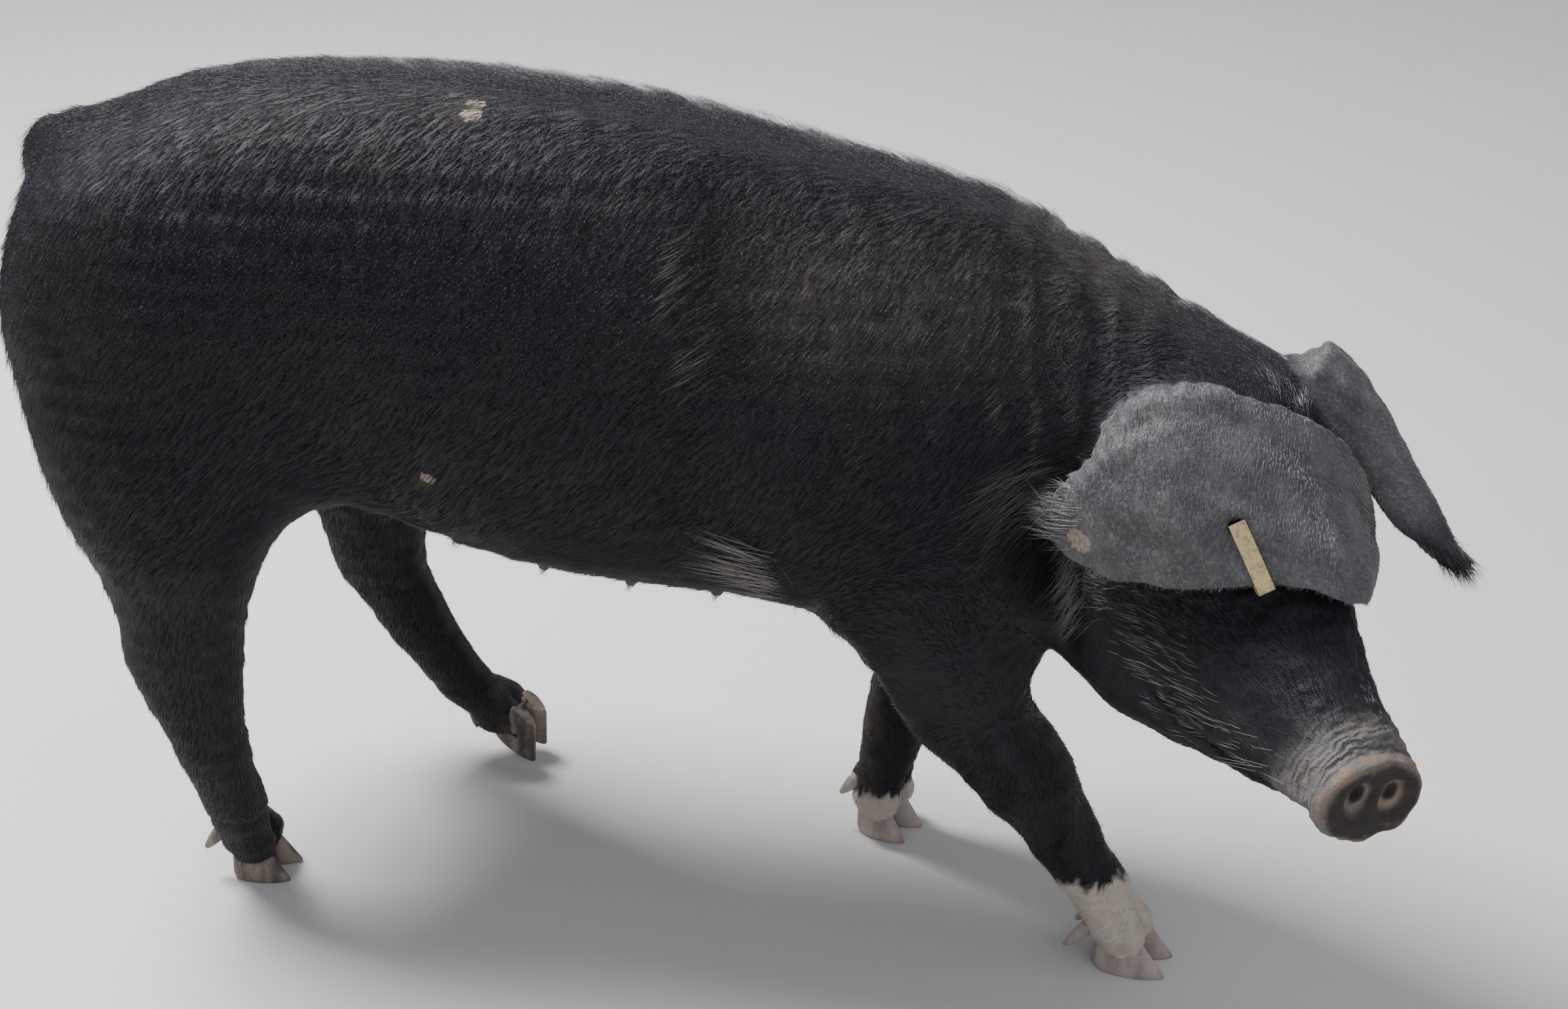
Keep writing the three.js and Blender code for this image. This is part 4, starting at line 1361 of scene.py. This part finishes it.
class BristleTree:
    """A Geometry Nodes tree that sets bristles on a skin and turns them into plain mesh."""

    # the size of one bristle's patch on the flat map of the skin
    patch_wide: float = 0.0014
    patch_tall: float = 0.003

    def __init__(self, name: str) -> None:
        """Build the tree and give it that name."""
        self.tree = bpy.data.node_groups.new(name, "GeometryNodeTree")
        self.graph = Graph(self.tree)
        interface = self.tree.interface
        for label, kind, direction in (
            ("Geometry", "NodeSocketGeometry", "INPUT"),
            ("Zone", "NodeSocketFloat", "INPUT"),
            ("Radius", "NodeSocketFloat", "INPUT"),
            ("Spread", "NodeSocketFloat", "INPUT"),
            ("Uneven", "NodeSocketFloat", "INPUT"),
            ("Seed", "NodeSocketInt", "INPUT"),
            ("Material", "NodeSocketMaterial", "INPUT"),
            ("Geometry", "NodeSocketGeometry", "OUTPUT"),
        ):
            interface.new_socket(label, in_out=direction, socket_type=kind)
        self._join_up()

    def named(self, name: str, kind: str = "FLOAT") -> bpy.types.NodeSocket:
        """Return a value stored on the skin."""
        node = self.graph.add("GeometryNodeInputNamedAttribute", {"data_type": kind}, in_0=name)
        return node.outputs[0]

    def vector(self, operation: str, *values: object) -> bpy.types.NodeSocket:
        """Return a sum of vectors.

        Args:
            operation: The Vector Math node's operation.
            values: Its vectors; a scale's number comes last.

        Returns:
            The vector.
        """
        node = self.graph.add("ShaderNodeVectorMath", {"operation": operation})
        sockets = [s for s in node.inputs if s.enabled]
        for socket, value in zip(sockets, values):
            self.graph.feed(socket, value)
        return node.outputs[0]

    def _stored(
        self, geometry: object, name: str, value: object, kind: str, domain: str = "POINT"
    ) -> bpy.types.NodeSocket:
        """Store a value on a geometry.

        Args:
            geometry: The geometry's socket.
            name: The name that the value is stored under.
            value: The value's socket.
            kind: Its type of data.
            domain: Where it is stored, on points or corners.

        Returns:
            The geometry that carries the value.
        """
        node = self.graph.add(
            "GeometryNodeStoreNamedAttribute",
            {"data_type": kind, "domain": domain},
            Geometry=geometry,
            Name=name,
            Value=value,
        )
        return node.outputs[0]

    def _join_up(self) -> None:
        """Add the nodes and links."""
        add, wire = self.graph.add, self.graph.wire
        given = add("NodeGroupInput")
        right_zone = add(
            "FunctionNodeCompare",
            {"operation": "EQUAL", "data_type": "FLOAT"},
            A=self.named("zone"),
            B=given.outputs["Zone"],
            Epsilon=0.5,
        )
        roots = add(
            "GeometryNodeDistributePointsOnFaces",
            Mesh=given.outputs["Geometry"],
            Selection=right_zone.outputs[0],
            Density=self.named("hair_dense"),
            Seed=given.outputs["Seed"],
        )
        shake = add(
            "FunctionNodeRandomValue",
            {"data_type": "FLOAT_VECTOR"},
            in_0=(-1.0, -1.0, -1.0),
            in_1=(1.0, 1.0, 1.0),
            Seed=given.outputs["Seed"],
        )
        shaken = self.vector("SCALE", shake.outputs[0], given.outputs["Spread"])
        stand = roots.outputs["Normal"]
        rooted = self._stored(roots.outputs["Points"], "stand", stand, "FLOAT_VECTOR")
        raised = self.vector("SCALE", self.named("stand", "FLOAT_VECTOR"), self.named("hair_lift"))
        way = self.vector("ADD", self.named("lay", "FLOAT_VECTOR"), raised)
        way = self.vector("NORMALIZE", self.vector("ADD", way, shaken))
        turned = add("FunctionNodeAlignRotationToVector", {"axis": "Z"}, Vector=way)
        turned = add(
            "FunctionNodeAlignRotationToVector",
            {"axis": "X", "pivot_axis": "Z"},
            Rotation=turned.outputs[0],
            Vector=self.named("stand", "FLOAT_VECTOR"),
        )
        uneven = add("FunctionNodeRandomValue", {"data_type": "FLOAT"}, Seed=given.outputs["Seed"])
        factor = 1 + (wire(uneven, 1) * 2 - 1) * Wire(self.graph, given.outputs["Uneven"])
        long = Wire(self.graph, self.named("hair_long")) * factor
        thick = given.outputs["Radius"]
        size = add("ShaderNodeCombineXYZ", X=thick, Y=thick, Z=long)
        hairs = add(
            "GeometryNodeInstanceOnPoints",
            Points=rooted,
            Instance=self._one_bristle(),
            Rotation=turned.outputs[0],
            Scale=size.outputs[0],
        )
        real = add("GeometryNodeRealizeInstances", Geometry=hairs.outputs[0])
        own = self.named("own", "FLOAT_VECTOR")
        place = self.vector("ADD", self.named("root_place", "FLOAT_VECTOR"), own)
        mapped = self._stored(real.outputs[0], "OFBake", place, "FLOAT2", "CORNER")
        finish = given.outputs["Material"]
        dressed = add("GeometryNodeSetMaterial", Geometry=mapped, Material=finish)
        add("NodeGroupOutput", Geometry=dressed.outputs[0])

    def _one_bristle(self) -> bpy.types.NodeSocket:
        """Make one bristle of length and width 1, with its own small map."""
        add = self.graph.add
        spike = add(
            "GeometryNodeMeshCone",
            {"fill_type": "NGON"},
            Vertices=3,
            Side_Segments=1,
            Radius_Top=0.0,
            Radius_Bottom=1.0,
            Depth=1.0,
        )
        here = add("GeometryNodeInputPosition")
        parts = add("ShaderNodeSeparateXYZ", in_0=here.outputs[0])
        across, height = self.graph.wire(parts, 0), self.graph.wire(parts, 2)
        own = add("ShaderNodeCombineXYZ", X=across * self.patch_wide, Y=height * self.patch_tall)
        spike_mesh = self._stored(spike.outputs["Mesh"], "own", own.outputs[0], "FLOAT_VECTOR")
        return self._stored(spike_mesh, "tip", height, "FLOAT")


@dataclass
class Coat:
    """All the bristles, in pieces that each stay light enough."""

    anatomy: Anatomy
    sizes: dict[Bristle, BristleSizes] = field(
        default_factory=lambda: {
            Bristle.COAT: BristleSizes(0.00022, 0.11, 0.35, 5),
            Bristle.LONG: BristleSizes(0.00022, 0.16, 0.35, 9),
        }
    )
    names: tuple[str, ...] = (
        "coat_rump",
        "coat_loin",
        "coat_shoulder",
        "coat_neck",
        "coat_hind_legs",
        "coat_fore_legs",
        "coat_head",
    )
    plan: tuple[str, ...] = ("lay", "hair_long", "hair_dense", "hair_lift", "zone")
    helpers: tuple[str, ...] = ("root_place", "own", "stand")

    def build(self, skin: bpy.types.Object) -> list[bpy.types.Object]:
        """Grow the coat on the skin.

        Args:
            skin: The skin, with the coat's plan stored on it.

        Returns:
            The pieces.
        """
        tree = BristleTree("bristles")
        finish = HairFinish().material()
        short, long = self.sizes[Bristle.COAT], self.sizes[Bristle.LONG]
        pieces = []
        for zone, name in enumerate(self.names):
            pieces.append(self._grow(skin, tree, name, zone, short, finish))
        tufted = new_object("tufted", skin.data.copy())
        LongHair(self.anatomy).store(tufted.data)
        pieces.append(self._grow(tufted, tree, "long_hair", 0, long, finish))
        discard(tufted)
        return pieces

    def _grow(
        self,
        skin: bpy.types.Object,
        tree: BristleTree,
        name: str,
        zone: int,
        sizes: BristleSizes,
        finish: bpy.types.Material,
    ) -> bpy.types.Object:
        """Grow one piece of the coat.

        Args:
            skin: The skin.
            tree: The tree that sets the bristles.
            name: The piece's name.
            zone: The number of its part of the skin.
            sizes: The bristles' sizes.
            finish: Their material.

        Returns:
            The piece, as plain mesh.
        """
        carrier = new_object(name + "_carrier", skin.data.copy())
        modifier = carrier.modifiers.new("bristles", "NODES")
        modifier.node_group = tree.tree
        values = {
            "Zone": float(zone),
            "Radius": sizes.radius,
            "Spread": sizes.spread,
            "Uneven": sizes.uneven,
            "Seed": sizes.seed + zone,
            "Material": finish,
        }
        for item in tree.tree.interface.items_tree:
            if item.in_out == "INPUT" and item.name in values:
                modifier[item.identifier] = values[item.name]
        piece = evaluated(carrier, name)
        for stored in (*self.plan, *self.helpers):
            if stored in piece.data.attributes:
                piece.data.attributes.remove(piece.data.attributes[stored])
        return piece


# ---------------------------------------------------------------- claws, eyes, tag


@dataclass
class Smoothed:
    """A CAD node's shape made round and fine, in the node's place."""

    node: str
    levels: int = 2
    crease: float = 0.0

    def build(self, finish: bpy.types.Material, slot: str) -> bpy.types.Object:
        """Make the piece.

        Args:
            finish: Its material.
            slot: Not used.

        Returns:
            The piece.
        """
        points, faces = merged_copy(self.node)
        rough = new_object(self.node + "_rough", mesh_from(self.node + "_rough", points, faces))
        mesh = rough.data
        if self.crease:
            self._crease_sharp_edges(mesh)
        divide = rough.modifiers.new("divide", "SUBSURF")
        divide.levels = divide.render_levels = self.levels
        piece = evaluated(rough, self.node + "_fine")
        piece.data.polygons.foreach_set("use_smooth", [True] * len(piece.data.polygons))
        piece.data.materials.append(finish)
        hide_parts(self.node)
        return piece

    def _crease_sharp_edges(self, mesh: bpy.types.Mesh) -> None:
        """Keep the edges between faces that meet at a steep angle.

        Args:
            mesh: The mesh, which is changed.
        """
        shape = bmesh.new()
        shape.from_mesh(mesh)
        layer = shape.edges.layers.float.new("crease_edge")
        for edge in shape.edges:
            if edge.is_manifold and edge.calc_face_angle(0.0) > STEEP:
                edge[layer] = self.crease
        shape.to_mesh(mesh)
        shape.free()


@dataclass
class Feet:
    """The claws and dewclaws of the four feet."""

    def build(self) -> list[bpy.types.Object]:
        """Make every claw and dewclaw."""
        pale = HornFinish("pale_horn").material()
        dark = HornFinish("dark_horn", (0.20, 0.16, 0.13), (0.045, 0.037, 0.033)).material()
        pieces = []
        for limb in LIMBS:
            horn = pale if limb.startswith("fore") else dark
            for side in SIDES:
                pieces.append(Smoothed(f"{limb}_claw_{side}", 2, 0.45).build(horn, "claw"))
                pieces.append(Smoothed(f"{limb}_dewclaw_{side}", 2).build(horn, "claw"))
        return pieces


@dataclass
class Face:
    """The eyes, set in their lids."""

    def build(self) -> list[bpy.types.Object]:
        """Make both eyes."""
        wet = EyeFinish().material()
        return [Smoothed(f"eye_{side}", 3).build(wet, "eye") for side in SIDES]


@dataclass
class EarTag:
    """The metal strip through the right ear."""

    def build(self) -> bpy.types.Object:
        """Make the tag with softened edges."""
        points, faces = merged_copy("ear_tag")
        rough = new_object("tag_rough", mesh_from("tag_rough", points, faces))
        soften = rough.modifiers.new("soften", "BEVEL")
        soften.width = 0.0005
        soften.segments = 2
        soften.limit_method = "ANGLE"
        soften.angle_limit = STEEP
        piece = evaluated(rough, "ear_tag_fine")
        piece.data.materials.append(TagFinish().material())
        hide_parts("ear_tag")
        return piece


# ---------------------------------------------------------------- finishes


@dataclass(frozen=True)
class SkinFinish:
    """Near-black skin, grey on the ears, bare on the snout, pale in the socks, with painted shade
    in the snout's wrinkles and nostrils.
    """

    black: tuple[float, float, float] = (0.006, 0.0068, 0.010)
    brown: tuple[float, float, float] = (0.018, 0.015, 0.015)
    grey: tuple[float, float, float] = (0.058, 0.059, 0.063)
    light_grey: tuple[float, float, float] = (0.15, 0.15, 0.152)
    pale: tuple[float, float, float] = (0.46, 0.40, 0.35)
    snout: tuple[float, float, float] = (0.115, 0.108, 0.104)
    tan: tuple[float, float, float] = (0.21, 0.15, 0.11)
    disc: tuple[float, float, float] = (0.012, 0.009, 0.007)
    disc_stain: tuple[float, float, float] = (0.085, 0.06, 0.045)
    # painted shade in the nostrils' openings
    hole: tuple[float, float, float] = (0.006, 0.004, 0.004)
    # painted shade in the troughs of the snout's wrinkles
    crease: tuple[float, float, float] = (0.035, 0.03, 0.029)
    mud: tuple[float, float, float] = DRIED_MUD
    fold: float = 0.0052  # from one wrinkle of the snout to the next
    relief: float = 0.0011

    def material(self) -> bpy.types.Material:
        """Return the material."""
        make = Colours("pig_skin")
        ring = make.attribute("ring") + make.noise(48, 4, 0.6) * 0.017
        wave = make.sine(ring * (2 * math.pi / self.fold))
        folds = make.attribute("folds")
        patchy = make.noise(48, 3, 0.6).step(0.38, 0.6)
        base = make.mix(make.noise(14, 4).step(0.45, 0.75) * 0.5, self.black, self.brown)
        flecks = make.noise(420, 2).step(0.45, 0.7)
        clouds = make.noise(45, 5, 0.65).step(0.4, 0.7)
        grey = make.mix(flecks * 0.5 + clouds * 0.5, self.grey, self.light_grey)
        colour = make.mix(make.attribute("ear"), base, grey)
        bare = make.attribute("bare")
        colour = make.mix(bare, colour, self.snout)
        # painted shade: the troughs of the snout's wrinkles are darkened
        painted_crease_shade = folds * (wave * 0.5 + 0.5).step(0.30, 0.0) * patchy * 0.5
        colour = make.mix(painted_crease_shade, colour, self.crease)
        tan = (make.noise(70, 4, 0.6) + make.attribute("rim") * 0.14).step(0.52, 0.78) * bare
        colour = make.mix(tan, colour, self.tan)
        disc = make.mix(make.noise(110, 5, 0.7).step(0.58, 0.74), self.disc, self.disc_stain)
        colour = make.mix(make.attribute("disc"), colour, disc)
        # painted shade: the nostrils are darkened to near black
        colour = make.mix(make.attribute("hole").step(0.25, 0.6), colour, self.hole)
        colour = make.mix(make.attribute("white"), colour, self.pale)
        dust = make.attribute("dust") * make.noise(60, 6, 0.7).step(0.35, 0.7)
        spots = (make.attribute("mud") * 1.6 + make.noise(160, 5, 0.7) - 0.7).step(0.2, 0.35)
        colour = make.mix((dust * 0.8 + spots).clamp(), colour, self.mud)
        fine = make.cells(900, (1.0, 1.0, 1.6))
        height = fine * 0.25 + make.noise(330, 4, 0.6) * 0.5 + make.noise(45, 5, 0.6) * 0.8
        height = height + wave * folds * (0.25 + patchy * 0.5)
        height = height + make.attribute("root") * make.noise(85, 4, 0.6) * 0.35
        rough = 0.52 + make.noise(40, 3) * 0.2 + spots * 0.2 - make.attribute("disc") * 0.1
        return make.finish(colour, rough.clamp(), height, self.relief, Specular_IOR_Level=0.3)


@dataclass(frozen=True)
class HairFinish:
    """Black bristles with paler, shining tips and painted silver glints on the upper body; white in
    the socks.
    """

    root: tuple[float, float, float] = (0.0045, 0.005, 0.0075)
    tip: tuple[float, float, float] = (0.017, 0.0175, 0.022)
    beige: tuple[float, float, float] = (0.22, 0.19, 0.155)
    painted_glint_colour: tuple[float, float, float] = (0.26, 0.27, 0.30)
    # the colour of the painted glints
    white: tuple[float, float, float] = (0.52, 0.48, 0.42)
    grey: tuple[float, float, float] = (0.16, 0.16, 0.162)

    def material(self) -> bpy.types.Material:
        """Return the material."""
        make = Colours("bristles")
        along = make.attribute("tip")
        some = make.noise(700, 1).step(0.60, 0.68)
        colour = make.mix(along.step(0.4, 1.0) * (0.3 + some * 0.7), self.root, self.tip)
        colour = make.mix(some * along * 0.45, colour, self.beige)
        # painted highlight: some bristles of the upper body are tinted silver
        glint = make.attribute("glint") * make.noise(620, 1).step(0.56, 0.64)
        colour = make.mix(glint * (0.3 + along * 0.5), colour, self.painted_glint_colour)
        colour = make.mix(make.attribute("ear") * 0.8, colour, self.grey)
        # pale tufts are white hair, but on the cheek the pale is a painted highlight
        colour = make.mix(make.attribute("pale") * (0.35 + along * 0.65), colour, self.white)
        colour = make.mix(make.attribute("white"), colour, self.white)
        dusty = (make.attribute("dust") * 0.5 + make.attribute("mud")).clamp()
        colour = make.mix(dusty, colour, DRIED_MUD)
        return make.finish(colour, 0.42, Specular_IOR_Level=0.6)


@dataclass(frozen=True)
class HornFinish:
    """Pale worn horn with growth lines and pink and grey streaks."""

    name: str
    pale: tuple[float, float, float] = (0.38, 0.33, 0.30)
    dark: tuple[float, float, float] = (0.24, 0.195, 0.175)
    soil: tuple[float, float, float] = (0.36, 0.31, 0.25)

    def material(self) -> bpy.types.Material:
        """Return the material."""
        make = Colours(self.name)
        streak = make.noise(55, 4, place=make.stretched((1.6, 1.6, 0.35))).step(0.40, 0.70)
        colour = make.mix(streak, self.pale, self.dark)
        colour = make.mix(make.noise(160, 5, 0.7).step(0.5, 0.75) * 0.4, colour, self.soil)
        rings = make.noise(30, 2, place=make.stretched((1.0, 1.0, 14.0)))
        height = rings * 0.7 + make.noise(500, 3) * 0.3
        return make.finish(colour, 0.45 + make.noise(90, 3) * 0.2, height, 0.0006)


@dataclass(frozen=True)
class EyeFinish:
    """A wet dark brown eye."""

    brown: tuple[float, float, float] = (0.035, 0.018, 0.010)
    pupil: tuple[float, float, float] = (0.01, 0.007, 0.005)

    def material(self) -> bpy.types.Material:
        """Return the material."""
        make = Colours("wet_eye")
        colour = make.mix(make.noise(250, 2), self.brown, self.pupil)
        rough = 0.06 + make.noise(300, 2) * 0.03
        return make.finish(colour, rough, Coat_Weight=1.0, Coat_Roughness=0.03)


@dataclass(frozen=True)
class TagFinish:
    """A dull plated strip with scratches."""

    plate: tuple[float, float, float] = (0.42, 0.33, 0.18)
    worn: tuple[float, float, float] = (0.26, 0.21, 0.15)

    def material(self) -> bpy.types.Material:
        """Return the material."""
        make = Colours("tag_plate")
        worn = make.noise(220, 5, 0.7).step(0.45, 0.7)
        colour = make.mix(worn, self.plate, self.worn)
        return make.finish(colour, 0.38 + worn * 0.25, make.noise(600, 3), 0.0002, Metallic=0.85)


@dataclass(frozen=True)
class FloorFinish:
    """A plain pale studio floor."""

    def material(self) -> bpy.types.Material:
        """Return the material."""
        make = Colours("studio_floor")
        colour = make.mix(make.noise(6, 3) * 0.3, (0.66, 0.65, 0.63), (0.60, 0.59, 0.57))
        return make.finish(colour, 0.75)


# ---------------------------------------------------------------- the studio


@dataclass(frozen=True)
class Lamp:
    """A square light that shines on the middle of the animal."""

    name: str
    at: tuple[float, float, float]
    size: float
    power: float

    def hang(self) -> None:
        """Put the light in the scene."""
        lamp = bpy.data.lights.new(self.name, "AREA")
        lamp.size = self.size
        lamp.energy = self.power
        light = bpy.data.objects.new(self.name, lamp)
        bpy.context.scene.collection.objects.link(light)
        light.location = self.at
        aim = Vector((0.0, 0.0, 0.35)) - Vector(self.at)
        light.rotation_euler = aim.to_track_quat("-Z", "Y").to_euler()


@dataclass
class Studio:
    """The floor, the lights and the camera."""

    anatomy: Anatomy
    camera_at: tuple[float, float, float] = (0.361, -1.73, 1.257)
    down: float = 28.0
    turned: float = 12.0
    across: float = 31.0
    lamps: tuple[Lamp, ...] = (
        Lamp("key", (-1.3, 0.45, 2.4), 1.0, 165.0),
        Lamp("fill", (1.3, -2.6, 1.6), 2.4, 22.0),
        Lamp("side", (1.9, -0.5, 2.2), 2.4, 16.0),
    )
    floor_half: float = 8.0
    floor_near: float = -4.0
    floor_long: float = 12.0
    floor_level_to: float = 3.0
    floor_steps: int = 24

    def build(self) -> None:
        """Make the studio round the animal."""
        self._floor()
        self._camera()
        for lamp in self.lamps:
            lamp.hang()
        world = bpy.data.worlds.new("studio_air")
        world.use_nodes = True
        background = world.node_tree.nodes["Background"]
        background.inputs["Color"].default_value = (0.86, 0.90, 1.0, 1.0)
        background.inputs["Strength"].default_value = 0.36
        bpy.context.scene.world = world

    def _floor(self) -> None:
        """Make a wide floor with a gently raised far edge."""
        points = []
        for i in range(self.floor_steps + 1):
            y = self.floor_near + self.floor_long * i / self.floor_steps
            rise = 0.10 * max(0.0, y - self.floor_level_to) ** 2
            points += [(x, y, rise) for x in (-self.floor_half, self.floor_half)]
        rows = range(0, 2 * self.floor_steps, 2)
        faces = [(i, i + 1, i + 3, i + 2) for i in rows]
        floor = new_object("floor", mesh_from("floor", np.array(points), faces))
        floor.data.materials.append(FloorFinish().material())

    def _camera(self) -> None:
        """Set the camera where it sees the animal from its right, front and above."""
        lens = bpy.data.cameras.new("camera")
        lens.sensor_fit = "HORIZONTAL"
        lens.angle = math.radians(self.across)
        camera = bpy.data.objects.new("camera", lens)
        bpy.context.scene.collection.objects.link(camera)
        at = self.anatomy.body().outside(np.array([self.camera_at]))[0]
        camera.location = tuple(at)
        camera.rotation_euler = (math.radians(90 - self.down), 0.0, math.radians(self.turned))
        bpy.context.scene.camera = camera


# ---------------------------------------------------------------- all of it


def main() -> None:
    """Build the animal and the studio, and report each piece."""
    logging.basicConfig(level=logging.INFO, format="%(message)s")
    anatomy = Anatomy()
    Studio(anatomy).build()
    skin = Skin(anatomy).build()
    LOG.info("skin: %d faces", len(skin.data.polygons))
    pieces = [skin, *Coat(anatomy).build(skin), *Feet().build(), *Face().build(), EarTag().build()]
    for piece in pieces:
        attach(piece, "root")
        LOG.info("%s: %d faces", piece.name, len(piece.data.polygons))


if __name__ == "__main__":
    main()
